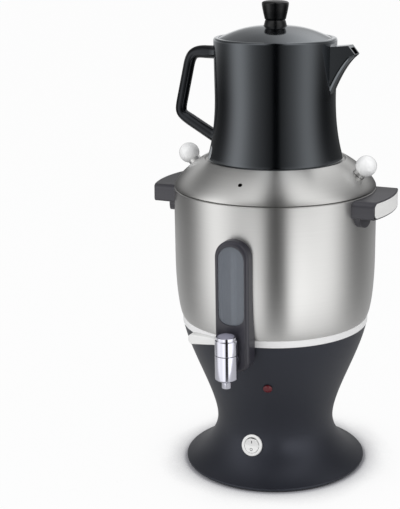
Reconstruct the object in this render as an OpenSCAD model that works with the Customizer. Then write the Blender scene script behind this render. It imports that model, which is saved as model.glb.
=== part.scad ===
// Electric samovar: a steel water tank on a flared base, with a tap, a water gauge, side handles,
// and a teapot that stands on the tank's lid.
// The tank's axis is Z, the table is z = 0, and the tap points towards -Y.

/* [Base] */
// Diameter of the foot of the base
base_d = 195; // [184:1:206]
// Diameter of the neck, the narrowest part of the base
neck_d = 126; // [116:1:134]
// Height of the neck above the table
neck_h = 49; // [46:0.5:54]
// Diameter of the top edge of the base
base_top_d = 197; // [192:0.5:202]
// Height of the top edge of the base above the table
base_h = 159.6; // [152:0.2:170]
// Wall of the base moulding
base_wall = 3; // [2.4:0.1:3.6]
// Height of the base's rim above the table
foot_gap = 1.5; // [1:0.1:2.5]
// Thickness of the cover under the base
cover_t = 3; // [2:0.1:4]
// Width of the rubber foot ring
foot_w = 6; // [4:0.5:8]
// Thickness of the shelf that holds the tank
shelf_t = 3; // [2:0.1:4]
// Height of the white ring between base and tank
ring_h = 7.2; // [6:0.1:9]
// How far the white ring stands out past the base
ring_lip = 0.5; // [0.2:0.1:1.5]

/* [Tank] */
// Outer diameter of the tank
tank_d = 211.6; // [206:0.2:216]
// Height of the tank from its shoulder to its rim
tank_h = 139; // [132:0.5:146]
// Height of the rounded part above the tank's shoulder
tank_curve_h = 65; // [55:1:75]
// Thickness of the tank's sheet
tank_t = 1; // [0.8:0.1:1.4]
// Depth of the tank's drum below its shoulder
drum_h = 11.8; // [10:0.1:13]
// Width of the rolled rim
rim_w = 3.5; // [2.5:0.1:4.5]
// Rounding of the rim's outer edge
rim_edge = 1.2; // [0.5:0.1:1.4]
// Diameter of the heater plate
heater_d = 132; // [120:1:140]
// Diameter of the heating element's tube
element_d = 8; // [6:0.1:8.5]

/* [Lid] */
// Height of the dome from the tank's rim to the lip round the teapot's seat
dome_h = 29.6; // [26:0.2:34]
// Thickness of the lid's sheet
lid_t = 1; // [0.8:0.1:1.4]
// Depth of the skirt that centres the lid in the tank
skirt_h = 8; // [5:0.5:10]
// Depth of the teapot's seat below the lip
seat_drop = 2.5; // [1.5:0.1:3.5]
// Diameter of the steam opening under the teapot
steam_d = 60; // [40:1:80]
// Diameter of the steam hole at the front
vent_d = 4.4; // [3:0.1:6]
// Diameter of each ball knob
ball_d = 21.6; // [18:0.2:24]
// Distance from the tank's axis to each knob's foot
knob_r = 91.5; // [88:0.5:95]
// Length of each knob's collar
collar_h = 3.6; // [1.5:0.1:4]

/* [Side handles] */
// Width of each side handle
handle_w = 82; // [74:1:90]
// How far each handle stands out from the tank
handle_reach = 22.2; // [19:0.2:26]
// Height of each handle's grip
handle_h = 18; // [16:0.2:22]
// Distance from the tank's rim down to the handle's top
handle_drop = 0.8; // [0.4:0.1:4]
// Thickness of the handle's walls
handle_wall = 3; // [2.4:0.1:3.6]
// Radius of each lobe that carries a screw
lobe_r = 10.5; // [8:0.1:11.5]
// Thickness of the metal insert
insert_t = 1.2; // [0.8:0.1:1.6]
// Diameter of the handle screws
handle_screw_d = 4; // [3:0.1:4.5]

/* [Gauge] */
// Width of the gauge housing
gauge_w = 36; // [34:0.5:40]
// Height of the housing above the tank's shoulder
gauge_up = 106.2; // [98:0.2:112]
// Reach of the housing below the tank's shoulder
gauge_down = 28.8; // [27:0.2:32]
// How far the housing stands out from the tank
gauge_proud = 11; // [10.6:0.1:13]
// Wall of the housing
gauge_wall = 2.4; // [2:0.1:2.6]
// Width of the window
window_w = 28; // [24:0.5:28]
// Height of the window's lower end above the tank's shoulder
window_up = 20; // [19:0.5:26]
// Diameter of the sight tube
tube_d = 5.6; // [5:0.1:5.6]
// Height of the manifold's spigot above the tank's shoulder
spigot_up = 10.2; // [9.4:0.1:11]
// Diameter of the spigot
spigot_d = 12; // [10:0.1:13]

/* [Tap] */
// Diameter of the tap
tap_d = 22.4; // [20:0.1:23]
// Gap between the housing and the tap
tap_gap = 1.4; // [1:0.1:3]
// Height of the shank below the tank's shoulder
shank_down = 13.8; // [13:0.1:15]
// Diameter of the shank
shank_d = 9; // [8:0.1:9.4]
// Length of the tap's lower body
tap_body_h = 25; // [23:0.2:28]
// Height of the sleeve that turns
sleeve_h = 18.7; // [17:0.1:22]
// Height of the sleeve's narrow rim
sleeve_rim_h = 2.9; // [2:0.1:6]
// Diameter of the sleeve's narrow rim
sleeve_rim_d = 20.2; // [19.4:0.1:20.6]
// Length of the nozzle below the body
nozzle_h = 10; // [8:0.5:14]
// Diameter of the nozzle
nozzle_d = 9.2; // [8.4:0.1:10.4]
// Distance from the tap's axis to the tip of the lever
lever_reach = 40; // [34:0.5:48]
// Diameter of the valve's stem
stem_d = 6; // [5:0.1:6.6]

/* [Switch, lamp and inlet] */
// Diameter of the switch's bezel
bezel_d = 23; // [22:0.1:25]
// Diameter of the hole for the switch
switch_hole_d = 20.2; // [19.6:0.1:20.6]
// Height of the switch's centre above the table
switch_z = 37; // [34:0.5:40]
// Diameter of the pilot lamp's lens
lamp_d = 9.4; // [8:0.1:11]
// Height of the pilot lamp above the table
lamp_z = 109.8; // [100:0.2:120]
// Angle of the pilot lamp from the front, towards +X
lamp_angle = 16.5; // [12:0.5:40]
// Height of the inlet's centre above the table
inlet_z = 34; // [33:0.5:36]
// Width of the inlet's flange
inlet_w = 49; // [47:0.5:52]
// Height of the inlet's flange
inlet_h = 24; // [23:0.5:26]

/* [Teapot] */
// Diameter of the teapot's foot
pot_foot_d = 141; // [134:1:143]
// Diameter of the teapot at its waist
pot_waist_d = 124.4; // [118:0.2:128]
// Height of the waist above the foot
pot_waist_h = 66; // [56:1:76]
// Height of the teapot from foot to rim
pot_h = 125.2; // [118:0.2:134]
// Diameter of the teapot's rim
pot_rim_d = 126; // [122:0.5:130]
// Wall of the teapot
pot_wall = 4; // [3:0.1:5]
// Wall of the spout
spout_wall = 2.6; // [2:0.1:3.2]
// Diameter of the teapot's handle bar
grip_d = 11.8; // [10:0.1:13]
// Distance from the teapot's axis to the outside of its handle
grip_reach = 113.5; // [108:0.5:118]
// Height of the teapot's handle between its two roots
grip_h = 91.5; // [86:0.5:98]
// Height of the handle's bend below its top bar
grip_bend_h = 65.3; // [58:0.1:72]
// Distance from the teapot's rim down to the handle's top bar
grip_drop = 17.7; // [15:0.1:20]
// Distance from the teapot's axis to the tip of its spout
spout_reach = 87.5; // [82:0.5:93]
// Width of the spout at its root
spout_w = 19; // [16:0.5:22]
// Diameter of the teapot's lid
pot_lid_d = 114.6; // [108:0.2:116]
// Rise of the teapot's lid
pot_lid_h = 12.4; // [10:0.2:15]
// Height of the lid's knob
lid_knob_h = 26.6; // [24:0.2:30]
// Diameter of the lid's knob at its top
lid_knob_d = 27.6; // [25:0.2:32]
// Diameter of the lid's knob at its waist
lid_knob_waist_d = 20.6; // [18:0.2:22]

/* [Fits] */
// Running gap between a turning part and its hole
run_gap = 0.05; // [0.03:0.01:0.08]
// Gap between a loose part and what it lies in
loose_gap = 0.3; // [0.25:0.01:0.45]
// Gap round a part that is screwed or pressed in place
snug_gap = 0.1; // [0.05:0.01:0.15]

/* [Hidden] */
$fn = 96;
cut = 1; // how far a cutting solid reaches past what it cuts

black = "#26272b";
charcoal = "#3a3b40";
steel = "#c4c5c2";
chrome = "#d8dade";
white = "#f2f2f0";
brass = "#c9a64e";
rubber = "#2b2b2b";
silicone = "#cfd2d0";

// Points of a cubic curve from a to d with the handles b and c
function curve(a, b, c, d, n = 12) = [for (i = [0 : n]) let (t = i / n, u = 1 - t)
    u * u * u * a + 3 * u * u * t * b + 3 * u * t * t * c + t * t * t * d];
// A profile that runs upwards, moved towards the axis by t along its own normals
function inset(p, t) = [for (i = [0 : len(p) - 1])
    let (a = p[max(i - 1, 0)], b = p[min(i + 1, len(p) - 1)], v = (b - a) / norm(b - a))
    p[i] + t * [-v[1], v[0]]];
// Radius of an upward profile at height z, and height of an inward profile at radius r
function radius_at(p, z) = lookup(z, [for (q = p) [q[1], q[0]]]);
function height_at(p, r) = lookup(r, [for (i = [len(p) - 1 : -1 : 0]) p[i]]);
function reversed(p) = [for (i = [len(p) - 1 : -1 : 0]) p[i]];

// Base: outer profile from the rim through the neck to the top edge
base_r = base_d / 2;
neck_r = neck_d / 2;
base_top_r = base_top_d / 2;
rim_edge_h = 2.7;
flare_r = base_r - 1;
flare_z = foot_gap + rim_edge_h;
flare = curve([flare_r, flare_z], [neck_r + 0.37 * (flare_r - neck_r), flare_z + 0.2 * (neck_h - flare_z)],
    [neck_r, neck_h - 0.4 * (neck_h - flare_z)], [neck_r, neck_h]);
body = curve([neck_r, neck_h], [neck_r, neck_h + 0.26 * (base_h - neck_h)],
    [base_top_r - 6.4, base_h - 0.31 * (base_h - neck_h)], [base_top_r, base_h], 14);
base_profile = concat(flare, [for (i = [1 : len(body) - 1]) body[i]]);
base_inside = inset(base_profile, base_wall);
cover_r = base_r - 10;
cover_top = foot_gap + cover_t;
foot_r = cover_r - 3.5;
foot_groove = 1.2;
screw_head_r = 3.6;
screw_head_h = 1.4;
base_screw_l = 13;
base_screw_r = 1.9;
base_screw_circle = foot_r - foot_w - screw_head_r - 4.4;
post_r = 4.5;
post_top = flare_z + 26;
shelf_z = base_h - 13.6;
shelf_in_r = heater_d / 2 + 8;

// Tank: shoulder on the white ring, drum inside it, rolled rim at the top
tank_r = tank_d / 2;
ring_r = base_top_r + ring_lip;
shoulder_z = base_h + ring_h;
drum_r = base_top_r - base_wall - 4;
shoulder_r = ring_r - 0.4;
floor_z = shoulder_z - drum_h;
rim_z = shoulder_z + tank_h;
tank_side = curve([shoulder_r, shoulder_z + 0.4], [shoulder_r + 4, shoulder_z + 0.08 * tank_curve_h],
    [tank_r, shoulder_z + 0.51 * tank_curve_h], [tank_r, shoulder_z + tank_curve_h]);
tank_inside = inset(tank_side, tank_t);
gasket_w = 4;
gasket_t = 1.2;
stud_r = 2;
stud_below = 8;
nut_h = 3.4;
nut_corner_r = 4.2;
stud_circle = radius_at(base_inside, shelf_z - stud_below) - nut_corner_r - 1.5;
heater_t = 4;
heater_z = floor_z - heater_t;
element_path_r = heater_d / 2 - 16;
element_z = heater_z - element_d / 2 - run_gap;
cold_turn = 14;
cold_h = 20;
thermostat_x = 22;
thermostat_y = 20;
thermostat_r = 8;
thermostat_h = 10;
cutout_r = 9;
cutout_h = 11;
blade_x = 3.5;
blade_h = 5;

// Lid: dome, lip, seat
lid_z = rim_z + loose_gap;
lid_r = tank_r - 0.5;
skirt_r = tank_r - rim_w - 2 * loose_gap;
lip_z = lid_z + dome_h;
seat_z = lip_z - seat_drop;
seat_r = pot_foot_d / 2 + 1.9;
lip_r = seat_r + 2;
dome = curve([lid_r, lid_z + 0.8], [lid_r - 0.7, lid_z + 0.24 * dome_h],
    [lip_r + 0.44 * (lid_r - lip_r), lid_z + 0.77 * dome_h], [lip_r, lip_z], 14);
knob_z = height_at(dome, knob_r);
knob_tilt = atan((height_at(dome, knob_r - 2) - height_at(dome, knob_r + 2)) / 4);
vent_r = knob_r + 0.5;
knob_stud_r = 2;
knob_nut_h = 3;
knob_nut_r = 4;
knob_stud_in = lid_t + knob_nut_h + 2.5;
ball_flat_r = 6.8;
ball_up = collar_h + sqrt(pow(ball_d / 2, 2) - pow(ball_flat_r, 2));

// Side handles
grip_top = rim_z - handle_drop;
grip_z = grip_top - handle_h;
grip_r = tank_r + handle_reach;
saddle_r = tank_r + snug_gap;
hole_reach = 30;
lobe_in = 4;
lobe_y = handle_w / 2 - lobe_in - lobe_r;
lobe_t = 6;
screw_z = grip_z + 1;
lobe_z = screw_z - 1.5;
screw_turn = asin(lobe_y / tank_r);
insert_edge = 1.4;

// Gauge and tap
face_y = -(tank_r + gauge_proud);
gauge_top = shoulder_z + gauge_up;
gauge_bottom = shoulder_z - gauge_down;
gauge_back_r = ring_r + 2;
window_z = shoulder_z + window_up;
window_top = gauge_top - 5.5;
window_low_r = 11;
cavity_top = window_top + 1.2;
flange_t = 1;
tube_wall = 0.9;
seal_t = 0.8;
tube_y = -(tank_r + tube_d / 2 + seal_t + run_gap);
manifold_w = 24;
manifold_top = shoulder_z + 16.2;
manifold_z = gauge_bottom + gauge_wall + 3;
manifold_front = face_y + gauge_wall + snug_gap;
manifold_back = -(gauge_back_r + gauge_wall + 0.8);
socket_h = 4;
spigot_z = shoulder_z + spigot_up;
spigot_wall_r = radius_at(tank_side, spigot_z);
washer_r = spigot_d / 2 + 2.6;
washer_y = 2.5 + tank_t - radius_at(tank_side, spigot_z - washer_r);
housing_screw_z = cavity_top + 2.2;
tap_r = tap_d / 2;
tap_y = face_y - tap_gap - tap_r;
shank_z = shoulder_z - shank_down;
nut_r = shank_d / 2 + 4;
web_y = face_y + gauge_wall / 2;
split_z = shank_z + 8;
body_z = split_z - tap_body_h;
nozzle_z = body_z - nozzle_h;
body_wall = 2.2;
bore_r = tap_r - body_wall;
floor_t = 3;
seat_h = 9;
bonnet_t = 3.2;
sleeve_z = split_z + loose_gap;
sleeve_top = sleeve_z + sleeve_h;
sleeve_step = sleeve_top - sleeve_rim_h;
hub_r = sleeve_rim_d / 2 - 1.5;
sleeve_floor_t = 2.4;
lever_thick = 7;
lever_z = sleeve_step - lever_thick / 2;
lever_tip_r = 5;
cap_z = lever_z + lever_thick / 2 + snug_gap;
port_r = 2;

// Switch, lamp and inlet
switch_r = radius_at(base_profile, switch_z);
switch_tilt = atan((radius_at(base_profile, switch_z - 4) - radius_at(base_profile, switch_z + 4)) / 8);
switch_seat = 0.4;
flange_h = 2;
barrel_h = 15;
pocket_r = bezel_d / 2 - 3.1;
pivot_r = 1.2;
rocker_tilt = 9;
lamp_r = radius_at(base_profile, lamp_z);
lamp_tilt = -atan((radius_at(base_profile, lamp_z + 4) - radius_at(base_profile, lamp_z - 4)) / 8);
lamp_body_r = lamp_d / 2 - 0.9;
inlet_y = neck_r + 9;
inlet_depth = 20;
inlet_pad_w = inlet_w + 6;
inlet_pad_h = inlet_h + 5;
inlet_screw_x = inlet_w / 2 - 4.5;
socket_w = 26;
socket_hh = 16;

// Teapot: foot on the lid's seat
pot_z = seat_z + loose_gap;
pot_foot_r = pot_foot_d / 2;
pot_waist_r = pot_waist_d / 2;
pot_rim_r = pot_rim_d / 2;
pot_rim_z = pot_z + pot_h;
ledge_z = pot_rim_z - 4;
pot_side = curve([pot_foot_r, pot_z + 1.6], [pot_foot_r - 3.3, pot_z + 0.2 * pot_waist_h],
    [pot_waist_r, pot_z + 0.5 * pot_waist_h], [pot_waist_r, pot_z + pot_waist_h]);
pot_outside = concat(pot_side, [[pot_rim_r, pot_rim_z - 1.6]]);
pot_floor = 5;
mouth_r = pot_lid_d / 2 + loose_gap;
pot_lid_z = ledge_z + loose_gap;
pot_lid_edge = 3.2;
pot_lid_top = pot_lid_z + pot_lid_edge + pot_lid_h;
locate_r = mouth_r - 6.6;
knob_foot_z = pot_lid_top - 1.6;
// Middle line of the teapot's handle, in the plane y = 0, and how far its bends reach
grip_round = 14;
grip_path = [[-pot_waist_r + 2, 0, pot_rim_z - grip_drop], [-(grip_reach - 19.1), 0, pot_rim_z - grip_drop],
    [-(grip_reach - 4), 0, pot_rim_z - grip_drop - grip_bend_h], [-pot_waist_r - 0.5, 0,
        pot_rim_z - grip_drop - grip_h]];
// Spout: its root's height, the drop to its channel, and the strainer holes behind it
spout_h = 57;
spout_bend_h = 42;
strainer_drop = 16;
strainer_step = 5;
channel_r = radius_at(pot_outside, pot_rim_z - strainer_drop - strainer_step) + 0.5;

// A washer or a tube
module ring(r_out, r_in, h) {
    difference() {
        cylinder(r = r_out, h = h);
        translate([0, 0, -cut]) cylinder(r = r_in, h = h + 2 * cut);
    }
}

// A rectangle in x and z with round ends: w wide, from z0 to z1
module pill(w, z0, z1, low_r) {
    translate([0, z1 - w / 2]) circle(r = w / 2);
    translate([-w / 2, z0 + low_r]) square([w, z1 - w / 2 - z0 - low_r]);
    translate([-w / 2 + low_r, z0]) square([w - 2 * low_r, 2 * low_r]);
    for (side = [-1, 1]) translate([side * (w / 2 - low_r), z0 + low_r]) circle(r = low_r);
}

// Stands a flat x, z shape up and extrudes it from y0 to y1
module upright(y0, y1) {
    translate([0, y1, 0]) rotate([90, 0, 0]) linear_extrude(height = y1 - y0) children();
}

// A cylinder along Y from y0 to y1 at height z
module along_y(r, y0, y1, z, x = 0) {
    translate([x, y1, z]) rotate([90, 0, 0]) cylinder(r = r, h = y1 - y0);
}

// Places of the repeated fasteners
module base_corners() {
    for (i = [0 : 3]) rotate([0, 0, 45 + 90 * i]) translate([base_screw_circle, 0, 0]) children();
}
module stud_places() {
    for (i = [0 : 3]) rotate([0, 0, 45 + 90 * i]) translate([stud_circle, 0, 0]) children();
}
// Frame on the base's front with Z along the switch's axis, pointing out of the base
module at_switch() {
    translate([0, -switch_r, switch_z]) rotate([90 - switch_tilt, 0, 0])
        translate([0, 0, switch_seat]) children();
}
module at_lamp() {
    rotate([0, 0, lamp_angle]) translate([0, -lamp_r, lamp_z]) rotate([90 - lamp_tilt, 0, 0]) children();
}
// Frame of each handle screw: Z points out of the tank
module handle_screw_places(sides = [-1, 1]) {
    for (side = sides) for (turn = [-1, 1])
        rotate([0, 0, (side > 0 ? 0 : 180) + turn * screw_turn])
            translate([tank_r, 0, screw_z]) rotate([0, 90, 0]) children();
}
module at_knob(side) {
    translate([side * knob_r, 0, knob_z]) rotate([0, side * knob_tilt, 0]) children();
}

// ---------------------------------------------------------------- base

module base_outline() {
    polygon(concat([[0, foot_gap], [base_r - 0.6, foot_gap], [base_r, foot_gap + 0.6],
        [base_r, foot_gap + rim_edge_h - 0.8]], base_profile, [[0, base_h]]));
}

module base_hollow() {
    inner = [for (q = base_inside) if (q[1] > cover_top + 0.6 && q[1] < base_h) q];
    last = inner[len(inner) - 1];
    polygon(concat([[0, foot_gap - cut], [cover_r + loose_gap, foot_gap - cut],
        [cover_r + loose_gap, cover_top], [min(cover_r, inner[0][0]) - 0.5, cover_top]], inner,
        [[last[0] + 0.2, base_h + cut], [0, base_h + cut]]));
}

// The inlet's box, smaller all round by wall, from y0 to y1
module inlet_block(wall, y1, y0 = neck_r - 12) {
    translate([-inlet_pad_w / 2 + wall, y0, inlet_z - inlet_pad_h / 2 + wall])
        cube([inlet_pad_w - 2 * wall, y1 - y0, inlet_pad_h - 2 * wall]);
}

module base_shell() {
    color(black) difference() {
        union() {
            difference() {
                rotate_extrude() base_outline();
                rotate_extrude() base_hollow();
            }
            // the shelf and the screw posts stop at the outside
            intersection() {
                rotate_extrude() base_outline();
                union() {
                    translate([0, 0, shelf_z]) ring(base_top_r, shelf_in_r, shelf_t);
                    base_corners() translate([0, 0, cover_top])
                        cylinder(r = post_r, h = post_top - cover_top);
                }
            }
            // flat seat of the switch, and the raised box that carries the inlet
            at_switch() translate([0, 0, -7]) cylinder(r = bezel_d / 2 + loose_gap, h = 7);
            inlet_block(0, inlet_y);
        }
        inlet_block(base_wall, inlet_y - base_wall);
        stud_places() translate([0, 0, shelf_z - cut]) cylinder(r = stud_r + loose_gap,
            h = shelf_t + 2 * cut);
        base_corners() translate([0, 0, cover_top - cut]) cylinder(r = base_screw_r - 0.3,
            h = base_screw_l + cut);
        at_switch() {
            translate([0, 0, -hole_reach]) cylinder(r = switch_hole_d / 2, h = hole_reach + 10);
            cylinder(r = bezel_d / 2 + loose_gap, h = 12);
        }
        at_lamp() translate([0, 0, -12]) cylinder(r = lamp_body_r + snug_gap, h = 24);
        // room for the plug in front of the inlet, and the inlet's opening
        inlet_block(0, inlet_y + 30, inlet_y);
        translate([-(socket_w + 3) / 2 - snug_gap, inlet_y - 30, inlet_z - (socket_hh + 3) / 2 - snug_gap])
            cube([socket_w + 3 + 2 * snug_gap, 40, socket_hh + 3 + 2 * snug_gap]);
        for (side = [-1, 1]) along_y(1.3, inlet_y - 10, inlet_y + cut, inlet_z, side * inlet_screw_x);
    }
}

module base_cover() {
    slot_w = 3;
    color(black) difference() {
        translate([0, 0, foot_gap]) cylinder(r = cover_r, h = cover_t);
        translate([0, 0, foot_gap - cut]) ring(foot_r + snug_gap, foot_r - foot_w - snug_gap,
            cut + foot_groove);
        base_corners() translate([0, 0, foot_gap - cut]) {
            cylinder(r = base_screw_r + 0.3, h = cover_t + 2 * cut);
            cylinder(r = screw_head_r + loose_gap, h = cut + 0.2 + screw_head_h);
        }
        for (row = [-3 : 3]) translate([row * 9 - slot_w / 2, -20, foot_gap - cut])
            cube([slot_w, 40, cover_t + 2 * cut]);
    }
}

module foot_ring() {
    color(rubber) ring(foot_r, foot_r - foot_w, foot_gap + foot_groove);
}

module base_screws() {
    color(steel) base_corners() translate([0, 0, foot_gap + 0.2]) {
        difference() {
            cylinder(r = screw_head_r, h = screw_head_h);
            translate([0, 0, -cut]) cylinder(r = 1.6, h = cut + 0.9, $fn = 6);
        }
        translate([0, 0, screw_head_h - 0.1]) cylinder(r = base_screw_r - 0.35, h = base_screw_l);
    }
}

// ---------------------------------------------------------------- switch, lamp and inlet

module switch_bezel() {
    color(white) at_switch() difference() {
        union() {
            cylinder(r = bezel_d / 2, h = flange_h);
            translate([0, 0, -barrel_h]) cylinder(r = switch_hole_d / 2 - snug_gap, h = barrel_h + cut);
        }
        translate([0, 0, -6]) cylinder(r = pocket_r, h = 6 + flange_h + cut);
        rotate([0, 90, 0]) translate([0, 0, -pocket_r - 1.1])
            cylinder(r = pivot_r + run_gap, h = 2 * pocket_r + 2.2);
    }
}

// The rocker rests with its lower half, marked O, pressed in
module power_rocker() {
    color(white) at_switch() rotate([rocker_tilt, 0, 0]) union() {
        intersection() {
            cylinder(r = pocket_r - 0.6, h = 12, center = true);
            rotate([0, 90, 0]) linear_extrude(height = 2 * pocket_r, center = true)
                polygon([[3.4, -5.5], [3.4, 5.5], [-3.2, 7.8], [-1.6, 0], [-3.2, -7.8]]);
        }
        rotate([0, 90, 0]) cylinder(r = pivot_r, h = 2 * pocket_r + 1.6, center = true);
    }
}

module switch_terminals() {
    color(brass) at_switch() for (side = [-1, 1])
        translate([side * 4 - 0.4, -2.4, -barrel_h - 8]) cube([0.8, 4.8, 8]);
}

module lamp_lens() {
    color("darkred") at_lamp() difference() {
        intersection() {
            translate([0, 0, 0.4]) cylinder(r = lamp_d / 2, h = 4);
            translate([0, 0, -4]) sphere(r = 7.2);
        }
        translate([0, 0, -cut]) cylinder(r = lamp_body_r - 1.4, h = cut + 1.4);
    }
}

module lamp_body() {
    color(black) at_lamp() {
        translate([0, 0, -16]) cylinder(r = lamp_body_r, h = 16.4);
        translate([0, 0, -7]) ring(lamp_body_r + 2.2, lamp_body_r - 0.4, 2.4);
    }
    color(brass) at_lamp() for (side = [-1, 1])
        translate([side * 1.8 - 0.3, -0.9, -20]) cube([0.6, 1.8, 5]);
}

module power_inlet() {
    color(black) difference() {
        union() {
            translate([-inlet_w / 2, inlet_y, inlet_z - inlet_h / 2]) cube([inlet_w, 2.4, inlet_h]);
            translate([-(socket_w + 3) / 2, inlet_y - inlet_depth, inlet_z - (socket_hh + 3) / 2])
                cube([socket_w + 3, inlet_depth + cut, socket_hh + 3]);
        }
        translate([-socket_w / 2, inlet_y - inlet_depth + 4, inlet_z - socket_hh / 2])
            cube([socket_w, inlet_depth + 4, socket_hh]);
        for (side = [-1, 1]) along_y(1.7, inlet_y - cut, inlet_y + 4, inlet_z, side * inlet_screw_x);
        for (i = [-1 : 1]) translate([i * 7 - 1.1, inlet_y - inlet_depth - cut,
            inlet_z - 2.1 - 4 * (1 - abs(i))])
            cube([2.2, 8, 4.2]);
    }
}

module inlet_pins() {
    color(brass) for (i = [-1 : 1])
        translate([i * 7 - 1, inlet_y - inlet_depth - 7, inlet_z - 2 - 4 * (1 - abs(i))]) cube([2, 22, 4]);
}

module inlet_screws() {
    color(steel) for (side = [-1, 1]) {
        along_y(2.8, inlet_y + 2.4, inlet_y + 4, inlet_z, side * inlet_screw_x);
        along_y(1.2, inlet_y - 8, inlet_y + 3, inlet_z, side * inlet_screw_x);
    }
}

// A round bar of diameter d along the points p, with a ring of corners at each point, square to
// the path; side is a direction that the path never runs along
module sweep(p, d, corners, side) {
    n = len(p);
    rings = [for (i = [0 : n - 1]) let (v = p[min(i + 1, n - 1)] - p[max(i - 1, 0)],
        across = cross(side, v) / norm(cross(side, v)), up = cross(v, across) / norm(v))
        for (k = [0 : corners - 1])
            p[i] + d / 2 * (cos(360 * k / corners) * across + sin(360 * k / corners) * up)];
    walls = [for (i = [0 : n - 2]) for (k = [0 : corners - 1]) let (m = (k + 1) % corners)
        [i * corners + k, (i + 1) * corners + k, (i + 1) * corners + m, i * corners + m]];
    polyhedron(rings, concat([[for (k = [0 : corners - 1]) k]], walls,
        [[for (k = [corners - 1 : -1 : 0]) (n - 1) * corners + k]]));
}

// A lead from a to b that leaves a along u and arrives at b against v
module lead(a, u, b, v) {
    sweep(curve(a, a + u, b + v, b, 10), 2.4, 8, [1, 0.15, 0]);
}

module wiring() {
    end_gap = 0.3;
    pin_y = inlet_y - inlet_depth - 7 - end_gap;
    in = barrel_h + 8 + end_gap - switch_seat;
    switch_axis = [0, cos(switch_tilt), -sin(switch_tilt)];
    switch_end = [0, -switch_r, switch_z] + in * switch_axis;
    blade = heater_z - thermostat_h - blade_h - end_gap;
    cutout_blade = heater_z - cutout_h - blade_h - end_gap;
    cold = [element_path_r * sin(cold_turn), element_path_r * cos(cold_turn), element_z - cold_h - end_gap];
    lamp_axis = [-sin(lamp_angle) * cos(lamp_tilt), cos(lamp_angle) * cos(lamp_tilt), -sin(lamp_tilt)];
    lamp = [lamp_r * sin(lamp_angle), -lamp_r * cos(lamp_angle), lamp_z] + (20 + end_gap) * lamp_axis;
    lamp_side = 1.8 * [cos(lamp_angle), sin(lamp_angle), 0];
    beside = element_d / 2 - 1 + 1.2 + end_gap;
    color("red") {
        lead([7, pin_y, inlet_z], [0, -20, 0], switch_end + [4, 0, 0], 20 * switch_axis);
        lead(switch_end - [4, 0, 0], 16 * switch_axis, [-thermostat_x - blade_x, thermostat_y, blade],
            [0, 0, -40]);
        lead([-thermostat_x + blade_x, thermostat_y, blade], [2, 0, -14], [-blade_x, 0, cutout_blade],
            [-2, 0, -14]);
        lead([blade_x, 0, cutout_blade], [2, 0, -14], [thermostat_x - blade_x, thermostat_y, blade], [-2,
            0, -14]);
        lead([thermostat_x + blade_x, thermostat_y, blade], [2, 0, -18], cold, [2, 0, -18]);
    }
    color("blue") lead([-7, pin_y, inlet_z], [0, -20, 0], [-cold[0], cold[1], cold[2]], [0, 0, -40]);
    color("green") lead([0, pin_y, inlet_z - 4], [0, -30, 0], [0, 34, heater_z - end_gap], [0, 0, -50]);
    color("white") {
        lead(lamp + lamp_side, 16 * lamp_axis, cold + [beside, 0, 4], [0, -14, -24]);
        lead(lamp - lamp_side, 16 * lamp_axis, [-cold[0] - beside, cold[1], cold[2] + 4], [0, -14, -24]);
    }
}

// ---------------------------------------------------------------- ring and tank

module trim_ring() {
    in_r = drum_r + 0.5;
    groove = shoulder_r - 2;
    color(white) rotate_extrude() polygon([[in_r, base_h - 5], [in_r + 1.8, base_h - 5], [in_r + 1.8, base_h],
        [ring_r - 0.5, base_h], [ring_r, base_h + 0.6], [ring_r, shoulder_z - 0.6], [ring_r - 0.6,
            shoulder_z],
        [groove, shoulder_z], [groove, shoulder_z - gasket_t], [groove - gasket_w, shoulder_z - gasket_t],
        [groove - gasket_w, shoulder_z - 0.2], [in_r, shoulder_z - 0.2]]);
}

module tank_gasket() {
    color(silicone) translate([0, 0, shoulder_z - gasket_t])
        ring(shoulder_r - 2, shoulder_r - 2 - gasket_w, gasket_t);
}

module tank() {
    color(steel) difference() {
        rotate_extrude() polygon(concat(
            [[0, floor_z], [drum_r, floor_z], [drum_r, shoulder_z], [shoulder_r, shoulder_z]], tank_side,
            [[tank_r, rim_z - rim_edge], [tank_r - rim_edge, rim_z], [tank_r - rim_w, rim_z], [tank_r - rim_w,
                rim_z - 1.4],
            [tank_r - tank_t, rim_z - 1.4]], reversed(tank_inside),
            [[drum_r - tank_t, shoulder_z + 0.4 + tank_t], [drum_r - tank_t, floor_z + tank_t], [0,
                floor_z + tank_t]]));
        along_y(spigot_d / 2 + loose_gap, -tank_r, -tank_r + hole_reach, spigot_z);
        along_y(1.7, -tank_r - cut, -tank_r + 6, housing_screw_z);
        handle_screw_places() translate([0, 0, -lobe_t])
            cylinder(r = handle_screw_d / 2 + 0.2, h = 2 * lobe_t);
    }
}

module tank_studs() {
    color(steel) stud_places() translate([0, 0, shelf_z - stud_below])
        cylinder(r = stud_r, h = floor_z - shelf_z + stud_below);
}

module tank_nuts() {
    color(steel) stud_places() translate([0, 0, shelf_z - nut_h]) difference() {
        cylinder(r = nut_corner_r, h = nut_h, $fn = 6);
        translate([0, 0, -cut]) cylinder(r = stud_r + run_gap, h = nut_h + 2 * cut);
    }
}

module heater_plate() {
    color("silver") translate([0, 0, heater_z]) cylinder(r = heater_d / 2, h = heater_t);
}

module heating_element() {
    color("gray") {
        rotate([0, 0, 90 + cold_turn]) rotate_extrude(angle = 360 - 2 * cold_turn)
            translate([element_path_r, element_z]) circle(d = element_d);
        for (side = [-1, 1]) rotate([0, 0, 90 + side * cold_turn]) translate([element_path_r, 0, element_z]) {
            sphere(d = element_d);
            translate([0, 0, -cold_h]) cylinder(d = element_d - 2, h = cold_h);
        }
    }
}

// The two blades under a thermostat
module blades() {
    for (side = [-1, 1]) translate([side * blade_x - 0.4, -2, -blade_h]) cube([0.8, 4, blade_h + 1]);
}

module thermostats() {
    color(charcoal) for (side = [-1, 1]) translate([side * thermostat_x, thermostat_y,
        heater_z - thermostat_h]) {
        cylinder(r = thermostat_r, h = thermostat_h);
        blades();
    }
}

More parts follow.
